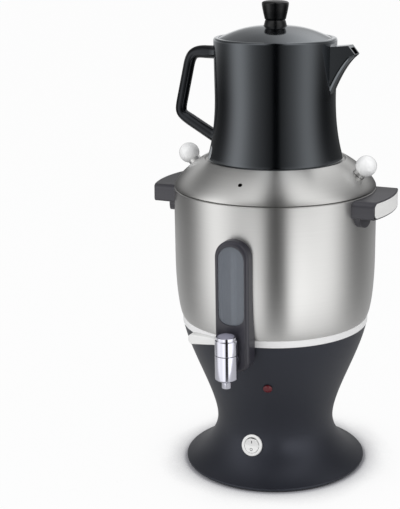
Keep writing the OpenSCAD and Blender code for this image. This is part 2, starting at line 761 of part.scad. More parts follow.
module thermal_cutout() {
    color(brass) translate([0, 0, heater_z - cutout_h]) {
        cylinder(r = cutout_r, h = cutout_h);
        translate([-cutout_r - 5, -4, cutout_h - 1.4]) cube([2 * cutout_r + 10, 8, 1.4]);
        blades();
    }
}

// ---------------------------------------------------------------- side handles

// The grip seen from outside: round at its upper corners, nearly square at its lower ones
module grip_outline() {
    top_r = 6;
    low_r = 2.5;
    w = handle_w / 2;
    translate([-w + top_r, 0]) square([2 * (w - top_r), handle_h]);
    translate([-w, low_r]) square([2 * w, handle_h - top_r - low_r]);
    translate([-w + low_r, 0]) square([2 * (w - low_r), low_r + cut]);
    for (side = [-1, 1]) {
        translate([side * (w - top_r), handle_h - top_r]) circle(r = top_r);
        translate([side * (w - low_r), low_r]) circle(r = low_r);
    }
}

// The handle on the +X side
module side_handle() {
    in_w = handle_w - 2 * handle_wall;
    difference() {
        union() {
            intersection() {
                translate([0, 0, grip_z]) ring(grip_r, saddle_r, handle_h);
                translate([tank_r / 2, 0, grip_z]) rotate([90, 0,
                    90]) linear_extrude(height = tank_r) grip_outline();
            }
            intersection() {
                translate([0, 0, lobe_z - lobe_r]) ring(saddle_r + lobe_t, saddle_r, 2 * lobe_r);
                translate([tank_r / 2, 0, 0]) rotate([90, 0, 90]) linear_extrude(height = tank_r)
                    for (side = [-1, 1]) translate([side * lobe_y, lobe_z]) circle(r = lobe_r);
            }
        }
        // finger recess, open underneath, behind the grip and in front of the lobes
        intersection() {
            translate([0, 0, grip_z - cut]) ring(grip_r - insert_t - handle_wall, saddle_r + lobe_t,
                cut + handle_h - handle_wall);
            translate([tank_r / 2, -in_w / 2, grip_z - cut]) cube([tank_r, in_w, handle_h + cut]);
        }
        insert_shape(grip_r - insert_t - snug_gap, grip_r + cut, snug_gap);
        handle_screw_places([1]) translate([0, 0, -2]) cylinder(r = handle_screw_d / 2 - run_gap, h = 7);
    }
}

// The insert's own space: a curved plate with round corners, grown by gap
module insert_shape(r_in, r_out, gap) {
    w = handle_w - 2 * insert_edge + 2 * gap;
    h = handle_h - 2 * insert_edge + 2 * gap;
    corner = 5.5;
    intersection() {
        translate([0, 0, grip_z - cut]) ring(r_out, r_in, handle_h + 2 * cut);
        translate([tank_r / 2, 0, grip_z + handle_h / 2]) rotate([90, 0,
            90]) linear_extrude(height = tank_r) {
            square([w - 2 * corner, h], center = true);
            square([w, h - 2 * corner], center = true);
            for (a = [-1, 1]) for (b = [-1, 1])
                translate([a * (w / 2 - corner), b * (h / 2 - corner)]) circle(r = corner);
        }
    }
}

module right_handle() {
    color(charcoal) side_handle();
}
module left_handle() {
    color(charcoal) mirror([1, 0, 0]) side_handle();
}
module right_handle_insert() {
    color(chrome) insert_shape(grip_r - insert_t, grip_r, 0);
}
module left_handle_insert() {
    color(chrome) mirror([1, 0, 0]) insert_shape(grip_r - insert_t, grip_r, 0);
}

module handle_screws() {
    color(steel) handle_screw_places() {
        translate([0, 0, -tank_t - 3.6]) cylinder(r = handle_screw_d / 2 + 1.6, h = 2.2);
        translate([0, 0, -tank_t - 2.5]) cylinder(r = handle_screw_d / 2 - 2 * run_gap, h = tank_t + 7);
    }
}

// Washers inside the tank, under the heads of the handle screws and the housing screw
module screw_seals() {
    color(silicone) {
        handle_screw_places() translate([0, 0, -tank_t - 1.4])
            ring(handle_screw_d / 2 + 2, handle_screw_d / 2 + run_gap, 1.2);
        translate([0, -tank_r + tank_t + 1.4, housing_screw_z]) rotate([90, 0, 0]) ring(3, 1.3, 1.2);
    }
}

// ---------------------------------------------------------------- gauge

// What lies behind the housing: the tank's side, and a plain cylinder beside the base
module gauge_backing() {
    rotate_extrude() polygon(concat([[0, gauge_bottom - cut], [gauge_back_r, gauge_bottom - cut],
        [gauge_back_r, shoulder_z + 3]],
        [for (q = tank_side) if (q[1] > shoulder_z + 3.5 && q[0] > gauge_back_r) q + [snug_gap, 0]],
        [[tank_r + snug_gap, rim_z], [0, rim_z]]));
}

module gauge_housing() {
    front_r = 4;
    half = gauge_w / 2;
    color(charcoal) difference() {
        intersection() {
            upright(face_y, -drum_r) pill(gauge_w, gauge_bottom, gauge_top, 12);
            translate([0, 0, gauge_bottom]) linear_extrude(height = gauge_top - gauge_bottom) {
                translate([-half + front_r, face_y]) square([gauge_w - 2 * front_r, -drum_r - face_y]);
                translate([-half, face_y + front_r]) square([gauge_w, -drum_r - face_y - front_r]);
                for (side = [-1, 1]) translate([side * (half - front_r),
                    face_y + front_r]) circle(r = front_r);
            }
        }
        gauge_backing();
        // the cavity leaves a back wall below the tank
        difference() {
            upright(face_y + gauge_wall, -drum_r)
                pill(window_w + 2, gauge_bottom + gauge_wall, cavity_top, 9);
            translate([0, 0, gauge_bottom]) cylinder(r = gauge_back_r + gauge_wall,
                h = shoulder_z - gauge_bottom + 1);
        }
        upright(face_y - cut, face_y + gauge_wall + cut) pill(window_w, window_z, window_top, window_low_r);
        // recess of the tap's nut, and the shank's hole in the web behind it
        along_y(nut_r + 2, face_y - cut, web_y, shank_z);
        along_y(shank_d / 2 + loose_gap, face_y, face_y + gauge_wall + cut, shank_z);
        along_y(1.3, -tank_r - 9, -tank_r + 9, housing_screw_z);
    }
}

module gauge_window() {
    color("slategray", 0.5) {
        upright(face_y + 0.5, face_y + gauge_wall + run_gap)
            pill(window_w - 2 * snug_gap, window_z + snug_gap, window_top - snug_gap,
                window_low_r - snug_gap);
        upright(face_y + gauge_wall + run_gap, face_y + gauge_wall + flange_t)
            pill(window_w + 1.6, window_z - 0.8, window_top + 0.8, window_low_r + 0.8);
    }
}

module gauge_tube() {
    color("lightcyan", 0.4) translate([0, tube_y, manifold_top - socket_h + 0.2])
        ring(tube_d / 2, tube_d / 2 - tube_wall, window_top - manifold_top + socket_h - 4);
}

module gauge_seals() {
    color(silicone) for (z = [manifold_top - socket_h, window_top - 6]) translate([0, tube_y, z])
        ring(tube_d / 2 + seal_t, tube_d / 2 + run_gap, socket_h + 1);
}

module gauge_manifold() {
    color(charcoal) difference() {
        union() {
            translate([-manifold_w / 2, manifold_front, manifold_z])
                cube([manifold_w, manifold_back - manifold_front, manifold_top - manifold_z]);
            along_y(spigot_d / 2, manifold_back - cut, -spigot_wall_r + 13, spigot_z);
        }
        // up to the tube, back to the tank, and forwards to the tap
        translate([0, tube_y, shank_z]) cylinder(r = port_r, h = manifold_top - shank_z + cut);
        translate([0, tube_y, manifold_top - socket_h]) cylinder(r = tube_d / 2 + seal_t + run_gap,
            h = socket_h + cut);
        along_y(spigot_d / 2 - 2, tube_y, -spigot_wall_r + 13 + cut, spigot_z);
        along_y(shank_d / 2 + run_gap, manifold_front - cut, tube_y + 2.4, shank_z);
    }
}

module manifold_nut() {
    color(white) translate([0, washer_y + 4, spigot_z]) rotate([90, 0, 0]) difference() {
        cylinder(r = spigot_d / 2 + 4, h = 4 - run_gap, $fn = 6);
        translate([0, 0, -cut]) cylinder(r = spigot_d / 2 + run_gap, h = 4 + 2 * cut);
    }
}

// Washer under the nut; its outer face follows the tank's wall
module manifold_seal() {
    color(silicone) intersection() {
        translate([0, washer_y, spigot_z]) rotate([90, 0, 0]) ring(washer_r, spigot_d / 2 + run_gap, 12);
        rotate_extrude() polygon(concat([[0, shoulder_z + 1]], [for (q = tank_inside) q - [run_gap, 0]],
            [[0, shoulder_z + tank_curve_h]]));
    }
}

module housing_screw() {
    color(steel) {
        along_y(1.2, -tank_r - 7, -tank_r + tank_t + 2, housing_screw_z);
        along_y(2.8, -tank_r + tank_t + 1.45, -tank_r + tank_t + 3.4, housing_screw_z);
    }
}

// ---------------------------------------------------------------- tap

module tap_axis() {
    translate([0, tap_y, 0]) children();
}

module tap_body() {
    color(chrome) difference() {
        union() {
            difference() {
                tap_axis() {
                    translate([0, 0, body_z]) cylinder(r = tap_r, h = tap_body_h);
                    translate([0, 0, body_z - 3]) cylinder(r1 = nozzle_d / 2 + 1.8, r2 = tap_r, h = 3);
                }
                tap_axis() translate([0, 0, body_z + floor_t]) cylinder(r = bore_r, h = tap_body_h);
            }
            along_y(shank_d / 2, tap_y + bore_r + 0.4, tube_y + 2, shank_z);
            tap_axis() translate([0, 0, body_z + floor_t - 0.5])
                cylinder(r = stem_d / 2 + 4.5, h = seat_h + 0.5);
        }
        tap_axis() {
            translate([0, 0, body_z + floor_t]) cylinder(r = stem_d / 2 + 2 + run_gap, h = seat_h + cut);
            translate([0, 0, body_z - 3 - cut]) cylinder(r = nozzle_d / 2 - 0.6 + run_gap, h = 3 + cut + 1);
            translate([0, 0, body_z]) cylinder(r = port_r + 0.5, h = floor_t + cut);
            // side port of the valve's seat, on the side of the shank
            translate([0, stem_d / 2 + 1, body_z + floor_t + 5]) rotate([-90, 0, 0])
                cylinder(r = port_r, h = 5);
        }
        along_y(port_r + 0.2, tap_y + bore_r - 2, tube_y + 2 + cut, shank_z);
        // cross hole up to the sight tube
        translate([0, tube_y, shank_z]) cylinder(r = port_r - 0.5, h = shank_d);
    }
}

module tap_nozzle() {
    color(chrome) tap_axis() difference() {
        union() {
            translate([0, 0, nozzle_z]) cylinder(r = nozzle_d / 2, h = nozzle_h - 3 - run_gap);
            translate([0, 0, nozzle_z + nozzle_h - 4]) cylinder(r = nozzle_d / 2 - 0.6, h = 4.6);
        }
        translate([0, 0, nozzle_z - cut]) cylinder(r = nozzle_d / 2 - 1.4, h = nozzle_h + 3);
    }
}

module tap_nut() {
    color(chrome) difference() {
        along_y(nut_r, tap_y + tap_r + loose_gap, web_y, shank_z);
        along_y(shank_d / 2 + run_gap, tap_y, web_y + cut, shank_z);
    }
}

module tap_bonnet() {
    color(brass) tap_axis() translate([0, 0, split_z - bonnet_t]) difference() {
        cylinder(r = bore_r - run_gap, h = bonnet_t);
        translate([0, 0, -cut]) cylinder(r = stem_d / 2 + run_gap, h = bonnet_t + 2 * cut);
        translate([0, 0, bonnet_t - 1.6]) cylinder(r = stem_d / 2 + 1.6, h = 2);
    }
}

module tap_sleeve() {
    color(chrome) tap_axis() difference() {
        union() {
            translate([0, 0, sleeve_z]) cylinder(r = tap_r, h = sleeve_step - sleeve_z);
            translate([0, 0, sleeve_z]) cylinder(r = sleeve_rim_d / 2, h = sleeve_h);
        }
        translate([0, 0, sleeve_z + sleeve_floor_t]) cylinder(r = hub_r, h = sleeve_h);
        translate([0, 0, sleeve_z - cut]) cylinder(r = stem_d / 2 + run_gap, h = sleeve_floor_t + 2 * cut);
        translate([-tap_r - cut, -5, lever_z - lever_thick / 2]) cube([tap_r, 10, lever_thick]);
    }
}

module tap_lever() {
    tip_x = lever_reach - lever_tip_r;
    color(white) tap_axis() difference() {
        union() {
            translate([0, 0, sleeve_z + sleeve_floor_t + run_gap])
                cylinder(r = hub_r - run_gap, h = cap_z - sleeve_z - sleeve_floor_t - 2 * run_gap);
            intersection() {
                translate([0, 5, lever_z]) rotate([90, 0, 0]) linear_extrude(height = 10) {
                    polygon([[-2, -lever_thick / 2 + snug_gap], [-2, lever_thick / 2 - snug_gap],
                        [-sleeve_rim_d / 2 - 1.5, lever_thick / 2 - snug_gap], [-tip_x, lever_tip_r],
                        [-tip_x, -lever_tip_r], [-sleeve_rim_d / 2 - 3, -lever_thick / 2 + snug_gap]]);
                    translate([-tip_x, 0]) circle(r = lever_tip_r);
                }
                translate([0, 0, lever_z - 10]) linear_extrude(height = 20) {
                    polygon([[-2, -3.6], [-2, 3.6], [-tip_x, lever_tip_r - 0.3], [-tip_x,
                        -lever_tip_r + 0.3]]);
                    translate([-tip_x, 0]) circle(r = lever_tip_r);
                }
            }
        }
        translate([0, 0, sleeve_z]) cylinder(r = stem_d / 2 + run_gap, h = sleeve_h);
    }
}

module tap_cap() {
    dome_r = 15;
    color(charcoal) tap_axis() intersection() {
        translate([0, 0, cap_z]) cylinder(r = hub_r - run_gap, h = 8);
        translate([0, 0, sleeve_top + 2.2 - dome_r]) sphere(r = dome_r);
    }
}

// Stem and plug: the plug's side port faces +X while the tap is shut
module tap_plug() {
    plug_z = body_z + floor_t + run_gap;
    color(brass) tap_axis() difference() {
        union() {
            translate([0, 0, plug_z]) cylinder(r = stem_d / 2 + 2, h = seat_h);
            translate([0, 0, plug_z]) cylinder(r = stem_d / 2, h = cap_z - plug_z - run_gap);
        }
        translate([0, 0, plug_z - cut]) cylinder(r = port_r, h = cut + 6.6);
        translate([0, 0, body_z + floor_t + 5]) rotate([0, 90, 0]) cylinder(r = port_r - 0.3, h = 8);
    }
}

module tap_o_ring() {
    color(rubber) tap_axis() translate([0, 0, split_z - 1.5])
        ring(stem_d / 2 + 1.5, stem_d / 2 + run_gap / 2, 1.3);
}

// ---------------------------------------------------------------- lid of the tank

module tank_lid() {
    inner = inset(dome, lid_t);
    under = [for (q = inner) if (q[1] > lid_z + lid_t + 0.3 && q[0] > seat_r + lid_t) q];
    color(steel) difference() {
        rotate_extrude() polygon(concat([[skirt_r, lid_z - skirt_h], [skirt_r, lid_z], [lid_r - lid_t, lid_z]], dome,
            [[lip_r - 1, lip_z], [seat_r, seat_z], [steam_d / 2, seat_z], [steam_d / 2, seat_z - lid_t],
            [seat_r + lid_t * 0.6, seat_z - lid_t]], reversed(under),
            [[lid_r - 1.5 * lid_t, lid_z + lid_t], [skirt_r - lid_t, lid_z + lid_t],
            [skirt_r - lid_t, lid_z - skirt_h]]));
        for (side = [-1, 1]) at_knob(side) translate([0, 0, -4]) cylinder(r = knob_stud_r + loose_gap, h = 8);
        translate([0, -vent_r, knob_z]) rotate([knob_tilt, 0, 0]) translate([0, 0, -5])
            cylinder(d = vent_d, h = 10);
    }
}

module ball_knob(side) {
    color(white) at_knob(side) difference() {
        translate([0, 0, ball_up]) sphere(d = ball_d);
        translate([0, 0, ball_up - ball_d]) cylinder(r = ball_d, h = ball_d - ball_up + collar_h + 0.1);
        translate([0, 0, collar_h - cut]) cylinder(r = knob_stud_r + run_gap, h = ball_d / 2 + cut);
    }
}
module left_ball_knob() {
    ball_knob(-1);
}
module right_ball_knob() {
    ball_knob(1);
}

module knob_studs() {
    color(chrome) for (side = [-1, 1]) at_knob(side) {
        translate([0, 0, -knob_stud_in]) cylinder(r = knob_stud_r,
            h = knob_stud_in + collar_h + ball_d / 2 - 1);
        translate([0, 0, 0.15]) cylinder(r = ball_flat_r, h = collar_h - 0.15);
    }
}

module knob_nuts() {
    color(steel) for (side = [-1, 1]) at_knob(side) translate([0, 0, -lid_t - knob_nut_h - loose_gap])
        difference() {
            cylinder(r = knob_nut_r, h = knob_nut_h, $fn = 6);
            translate([0, 0, -cut]) cylinder(r = knob_stud_r + run_gap, h = knob_nut_h + 2 * cut);
        }
}

// ---------------------------------------------------------------- teapot

// A path with each corner rounded, starting at the distance reach from the corner
function rounded(p, reach) = concat([p[0]], [for (i = [1 : len(p) - 2])
    let (a = p[i] + reach * (p[i - 1] - p[i]) / norm(p[i - 1] - p[i]),
        b = p[i] + reach * (p[i + 1] - p[i]) / norm(p[i + 1] - p[i]))
        for (q = curve(a, a + 0.6 * (p[i] - a), b + 0.6 * (p[i] - b), b, 7)) q], [p[len(p) - 1]]);

// Side view of the spout, or of the channel inside it where wall is more than 0
module spout_side(wall) {
    back = wall > 0 ? channel_r : pot_waist_r - pot_wall;
    top = pot_rim_z - 7 - wall;
    keel = inset(curve([pot_waist_r - 1, pot_rim_z - spout_h], [pot_waist_r + 5, pot_rim_z - spout_bend_h],
        [spout_reach - 12, pot_rim_z - 25], [spout_reach - 1.2, pot_rim_z - 15.6], 8), wall);
    mouth = wall > 0 ? [[spout_reach + 6, top + 2], [spout_reach + 6, keel[8][1] + 4]] :
        [[spout_reach, pot_rim_z - 13.5]];
    polygon(concat([[back, top], [spout_reach - 7, top + 2]], mouth,
        [for (i = [8 : -1 : 0]) if (keel[i][0] > back + 0.4) keel[i]],
        wall > 0 ? [] : [[back, pot_rim_z - spout_h]]));
}

// Plan of the spout, which narrows towards its mouth
module spout_plan(wall) {
    half = spout_w / 2 - wall;
    polygon([[pot_waist_r - pot_wall, -half], [pot_waist_r - pot_wall, half],
        [spout_reach + 7, half - 2.6], [spout_reach + 7, -half + 2.6]]);
}

module spout(wall) {
    intersection() {
        upright(-spout_w, spout_w) spout_side(wall);
        translate([0, 0, pot_rim_z - spout_h - 10]) linear_extrude(height = spout_h + 10) spout_plan(wall);
    }
}

module teapot() {
    inside = [for (q = inset(pot_side, pot_wall)) if (q[1] > pot_z + pot_floor + 3) q];
    color(black) difference() {
        union() {
            rotate_extrude() polygon(concat([[0, pot_z + 1.5], [pot_foot_r - 6, pot_z + 1.5],
                [pot_foot_r - 6.5, pot_z], [pot_foot_r - 1, pot_z]], pot_outside,
                [[pot_rim_r - 0.5, pot_rim_z - 0.4], [pot_rim_r - 1.6, pot_rim_z], [mouth_r + 0.4, pot_rim_z],
                [mouth_r, pot_rim_z - 0.5], [mouth_r, ledge_z], [0, ledge_z]]));
            spout(0);
            sweep(rounded(grip_path, grip_round), grip_d, 20, [0, 1, 0]);
        }
        rotate_extrude() polygon(concat([[0, pot_z + 1.5 + pot_floor], [inside[0][0] - 4,
            pot_z + 1.5 + pot_floor]],
            inside, [[pot_rim_r - pot_wall - 0.4, ledge_z - 12], [locate_r + 0.8, ledge_z - 4],
            [locate_r + 0.8, ledge_z + cut], [0, ledge_z + cut]]));
        spout(spout_wall);
        // strainer holes between the pot and the spout
        for (row = [0 : 2]) for (i = [-1 : 1]) let (z = pot_rim_z - strainer_drop - row * strainer_step)
            translate([radius_at(pot_outside, z) - pot_wall - 4, i * 4, z]) rotate([0, 90, 0])
                cylinder(r = 1.4, h = pot_wall + 6);
    }
}

module teapot_lid() {
    r = pot_lid_d / 2;
    top = curve([r, pot_lid_z + pot_lid_edge], [r - 20, pot_lid_z + pot_lid_edge + 0.75 * pot_lid_h],
        [26, pot_lid_top], [0, pot_lid_top]);
    low = pot_lid_z - 7;
    color(black) difference() {
        rotate_extrude() polygon(concat([[locate_r - 2.6, low], [locate_r, low], [locate_r, pot_lid_z],
            [r - 0.4, pot_lid_z], [r, pot_lid_z + 0.5]], top, [[0, pot_lid_top - 4], [20, pot_lid_top - 4],
            [locate_r - 2.6, pot_lid_z + 3]]));
        translate([0, 0, pot_lid_top - 10]) cylinder(r = 2.2, h = 20);
        translate([0, 0, knob_foot_z]) cylinder(r = lid_knob_waist_d / 2 + 1.7 + loose_gap, h = 6);
    }
}

// Hourglass with a slightly domed top
module lid_knob() {
    waist_r = lid_knob_waist_d / 2;
    top_r = lid_knob_d / 2;
    z0 = knob_foot_z;
    color(black) difference() {
        rotate_extrude() polygon(concat([[0, z0], [waist_r + 1.7, z0], [waist_r + 1.5, z0 + 1.4],
            [waist_r + 0.2, z0 + 6.4],
            [waist_r - 0.4, z0 + 6.8], [waist_r - 0.4, z0 + 7.4], [waist_r + 0.2, z0 + 7.8]],
            curve([waist_r + 0.6, z0 + 8.4], [waist_r + 1.6, z0 + 13], [top_r - 1, z0 + 16], [top_r,
                z0 + lid_knob_h - 4.4], 6),
            curve([top_r, z0 + lid_knob_h - 2.6], [top_r - 0.4, z0 + lid_knob_h - 1.2],
            [top_r - 3, z0 + lid_knob_h], [0, z0 + lid_knob_h], 6)));
        translate([0, 0, z0 - cut]) cylinder(r = 1.75, h = 13);
    }
}

module lid_knob_screw() {
    color(steel) {
        translate([0, 0, pot_lid_top - 4 - 2.4]) cylinder(r = 3.6, h = 2.4);
        translate([0, 0, pot_lid_top - 5]) cylinder(r = 1.7, h = 14);
    }
}

base_shell();
base_cover();
foot_ring();
base_screws();
switch_bezel();
power_rocker();
switch_terminals();
lamp_lens();
lamp_body();
power_inlet();
inlet_pins();
inlet_screws();
wiring();
trim_ring();
tank();
tank_gasket();
tank_studs();
tank_nuts();
heater_plate();
heating_element();
thermostats();
thermal_cutout();
left_handle();
right_handle();
left_handle_insert();
right_handle_insert();
handle_screws();
screw_seals();
gauge_housing();
gauge_window();
gauge_tube();
gauge_seals();
gauge_manifold();
manifold_nut();
manifold_seal();
housing_screw();
tap_body();
tap_nozzle();
tap_nut();
tap_bonnet();
tap_sleeve();
tap_lever();
tap_cap();
tap_plug();
tap_o_ring();
tank_lid();
left_ball_knob();
right_ball_knob();
knob_studs();
knob_nuts();
teapot();
teapot_lid();
lid_knob();
lid_knob_screw();
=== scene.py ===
import math

import bpy
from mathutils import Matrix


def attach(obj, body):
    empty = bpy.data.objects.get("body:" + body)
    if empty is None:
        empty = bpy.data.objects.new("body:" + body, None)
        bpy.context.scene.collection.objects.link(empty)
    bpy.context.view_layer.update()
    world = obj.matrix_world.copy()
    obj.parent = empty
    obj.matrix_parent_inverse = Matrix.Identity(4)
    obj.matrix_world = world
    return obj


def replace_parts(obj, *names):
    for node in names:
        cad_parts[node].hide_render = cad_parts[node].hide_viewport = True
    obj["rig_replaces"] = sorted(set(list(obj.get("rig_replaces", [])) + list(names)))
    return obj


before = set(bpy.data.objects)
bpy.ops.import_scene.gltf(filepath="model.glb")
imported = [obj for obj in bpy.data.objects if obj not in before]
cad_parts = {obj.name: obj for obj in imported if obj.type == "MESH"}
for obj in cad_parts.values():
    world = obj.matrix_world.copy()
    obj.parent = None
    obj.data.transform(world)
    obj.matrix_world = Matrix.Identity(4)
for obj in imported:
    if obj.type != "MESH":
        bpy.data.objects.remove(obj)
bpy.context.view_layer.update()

# ------------------------------------------------------------------ camera
# The samovar is seen from a little to the right of its tap, from just above the tank's rim.
view_turn = math.radians(22)
view_pitch = math.radians(15.52)
view_distance = 1.25
view_height = 0.577
bpy.ops.object.camera_add(
    location=(view_distance * math.sin(view_turn), -view_distance * math.cos(view_turn), view_height),
    rotation=(math.radians(90) - view_pitch, 0, view_turn),
)
camera = bpy.context.object
camera.name = "camera"
camera.data.lens = 86.2
camera.data.sensor_width = 36
camera.data.shift_x = -0.148
camera.data.clip_start = 0.05
camera.data.clip_end = 50
bpy.context.scene.camera = camera
bpy.context.scene.view_settings.view_transform = "Standard"

# ------------------------------------------------------------------ floor
# A floor of pale paper. The camera sees it as white as the paper behind, and darker near the
# foot, where the samovar shades it. Other rays see plain paper.
bpy.ops.object.select_all(action="DESELECT")
bpy.ops.mesh.primitive_plane_add(size=60)
floor = bpy.context.object
floor.name = "floor"
paper = bpy.data.materials.new("white_paper")
paper.use_nodes = True
tree = paper.node_tree
tree.nodes.clear()
paper_out = tree.nodes.new("ShaderNodeOutputMaterial")
paper_seen = tree.nodes.new("ShaderNodeMixShader")
paper_lit = tree.nodes.new("ShaderNodeBsdfDiffuse")
paper_lit.inputs["Color"].default_value = (0.80, 0.80, 0.80, 1)
paper_mix = tree.nodes.new("ShaderNodeMixShader")
paper_shade = tree.nodes.new("ShaderNodeBsdfDiffuse")
paper_shade.inputs["Color"].default_value = (0.46, 0.46, 0.49, 1)
paper_white = tree.nodes.new("ShaderNodeEmission")
paper_near = tree.nodes.new("ShaderNodeAmbientOcclusion")
paper_near.inputs["Distance"].default_value = 0.08
paper_near.samples = 16
paper_share = tree.nodes.new("ShaderNodeMapRange")
paper_share.inputs["From Min"].default_value = 0.75
paper_share.inputs["From Max"].default_value = 0.945
paper_share.inputs["To Max"].default_value = 0.97
paper_rays = tree.nodes.new("ShaderNodeLightPath")
tree.links.new(paper_near.outputs["AO"], paper_share.inputs["Value"])
tree.links.new(paper_share.outputs[0], paper_mix.inputs["Fac"])
tree.links.new(paper_shade.outputs[0], paper_mix.inputs[1])
tree.links.new(paper_white.outputs[0], paper_mix.inputs[2])
tree.links.new(paper_rays.outputs["Is Camera Ray"], paper_seen.inputs["Fac"])
tree.links.new(paper_lit.outputs[0], paper_seen.inputs[1])
tree.links.new(paper_mix.outputs[0], paper_seen.inputs[2])
tree.links.new(paper_seen.outputs[0], paper_out.inputs["Surface"])
floor.data.materials.append(paper)

# ------------------------------------------------------------------ light tent
# Soft light from all round, and a tent that only polished surfaces see: two wide bright sides,
# a narrow dark gap between them in front, and quieter cloth behind and overhead.
sky = bpy.data.worlds.new("soft_studio")
bpy.context.scene.world = sky
sky.use_nodes = True
tree = sky.node_tree
tree.nodes.clear()
sky_out = tree.nodes.new("ShaderNodeOutputWorld")
sky_seen = tree.nodes.new("ShaderNodeBackground")
sky_seen.inputs["Color"].default_value = (0.975, 0.975, 0.975, 1)
sky_seen.inputs["Strength"].default_value = 1.0
sky_gloss = tree.nodes.new("ShaderNodeBackground")
sky_gloss.inputs["Color"].default_value = (0.97, 0.98, 1.0, 1)
sky_gloss.inputs["Strength"].default_value = 0.5
sky_soft = tree.nodes.new("ShaderNodeBackground")
sky_soft.inputs["Strength"].default_value = 0.62
sky_rays = tree.nodes.new("ShaderNodeLightPath")
sky_mix = tree.nodes.new("ShaderNodeMixShader")
sky_mix_gloss = tree.nodes.new("ShaderNodeMixShader")
sky_see_through = tree.nodes.new("ShaderNodeMath")
sky_see_through.operation = "MAXIMUM"
tree.links.new(sky_rays.outputs["Is Camera Ray"], sky_see_through.inputs[0])
tree.links.new(sky_rays.outputs["Is Transmission Ray"], sky_see_through.inputs[1])
tree.links.new(sky_rays.outputs["Is Glossy Ray"], sky_mix_gloss.inputs["Fac"])
tree.links.new(sky_soft.outputs[0], sky_mix_gloss.inputs[1])
tree.links.new(sky_gloss.outputs[0], sky_mix_gloss.inputs[2])
tree.links.new(sky_see_through.outputs[0], sky_mix.inputs["Fac"])
tree.links.new(sky_mix_gloss.outputs[0], sky_mix.inputs[1])
tree.links.new(sky_seen.outputs[0], sky_mix.inputs[2])
tree.links.new(sky_mix.outputs[0], sky_out.inputs["Surface"])

# the tent is a cloth dome; each light behind it has its middle and spread in degrees from the
# camera's side, and its strength low down, at the teapot's height and overhead
tent_lights = [
    (-66, 15, 0.98, 1.25, 0.45),
    (-38, 16, 0.87, 0.27, 0.95),
    (-18, 10, 1.05, 0.05, 0.35),
    (18, 10, 1.35, 0.08, 0.40),
    (34, 14, 1.20, 0.27, 0.85),
    (58, 15, 0.95, 0.92, 1.00),
    (140, 26, 0.28, 0.05, 1.15),
    (-150, 30, 0.36, 0.05, 0.10),
]
# the cloth's own glow at the same three heights
tent_glow = (0.20, 0.01, 0.20)
# where the light changes from low to middle and from middle to top, and over what height
middle_from, middle_over = 0.17, 0.09
top_from, top_over = 0.54, 0.16
# the dark gap in front, in degrees, and the bright strip behind
tent_gap, (gap_low, gap_middle, gap_top) = 1, (9.5, 5.0, 16)
tent_back, tent_back_turn, tent_back_z, tent_back_height = 0.80, 60, 0.48, 0.055
# outline of the dome: radius and height in metres
tent_line = [(0.45, z) for z in (0.001, 0.08, 0.15, 0.20, 0.26, 0.30, 0.34, 0.38, 0.42, 0.46, 0.50, 0.56)] + [
    (0.43, 0.66), (0.38, 0.76), (0.30, 0.85), (0.20, 0.91), (0.10, 0.94), (0.01, 0.95)]
bpy.ops.object.select_all(action="DESELECT")
bpy.ops.mesh.primitive_circle_add(vertices=len(tent_line), radius=1)
tent = bpy.context.object
tent.name = "light_tent"
bpy.ops.object.mode_set(mode="EDIT")
bpy.ops.mesh.select_all(action="DESELECT")
bpy.ops.object.mode_set(mode="OBJECT")
for edge in tent.data.edges:
    edge.select = set(edge.vertices) == {0, len(tent_line) - 1}
bpy.ops.object.mode_set(mode="EDIT")
bpy.ops.mesh.select_mode(type="EDGE")
bpy.ops.mesh.delete(type="EDGE")
bpy.ops.mesh.select_mode(type="VERT")
bpy.ops.object.mode_set(mode="OBJECT")
for vertex, (r, z) in zip(tent.data.vertices, tent_line):
    vertex.co = (0, -r, z)
bpy.ops.object.mode_set(mode="EDIT")
bpy.ops.mesh.select_all(action="SELECT")
bpy.ops.mesh.spin(steps=180, angle=math.radians(360), center=(0, 0, 0), axis=(0, 0, 1))
bpy.ops.mesh.select_all(action="SELECT")
bpy.ops.mesh.remove_doubles(threshold=0.00001)
bpy.ops.object.mode_set(mode="OBJECT")
painted = tent.data.attributes.new("light", "FLOAT", "POINT")
for vertex, value in zip(tent.data.vertices, painted.data):
    x, y, z = vertex.co
    turn = (math.degrees(math.atan2(x, -y) - view_turn) + 180) % 360 - 180
    middle_share = min(1, max(0, (z - middle_from) / middle_over))
    top_share = min(1, max(0, (z - top_from) / top_over))
    levels = [tent_glow] + [
        [level * math.exp(-(((turn - middle + 180) % 360 - 180) / spread) ** 2 / 2) for level in lights]
        for middle, spread, *lights in tent_lights]
    low, middle, top = (sum(level[k] for level in levels) for k in range(3))
    strength = (low * (1 - middle_share) + middle * middle_share) * (1 - top_share) + top * top_share
    gap_width = ((gap_low * (1 - middle_share) + gap_middle * middle_share) * (1 - top_share)
                 + gap_top * top_share)
    behind = tent_back * math.exp(-((abs(turn) - 180) / tent_back_turn) ** 2 / 2
                                  - ((z - tent_back_z) / tent_back_height) ** 2 / 2)
    value.value = strength * (1 - math.exp(-((turn - tent_gap) / gap_width) ** 4 / 2)) + behind
cloth = bpy.data.materials.new("tent_cloth")
cloth.use_nodes = True
tree = cloth.node_tree
tree.nodes.clear()
cloth_out = tree.nodes.new("ShaderNodeOutputMaterial")
cloth_light = tree.nodes.new("ShaderNodeEmission")
cloth_level = tree.nodes.new("ShaderNodeAttribute")
cloth_level.attribute_name = "light"
tree.links.new(cloth_level.outputs["Fac"], cloth_light.inputs["Strength"])
tree.links.new(cloth_light.outputs[0], cloth_out.inputs["Surface"])
tent.data.materials.append(cloth)
tent.visible_camera = False
tent.visible_diffuse = False
tent.visible_transmission = False
tent.visible_shadow = False

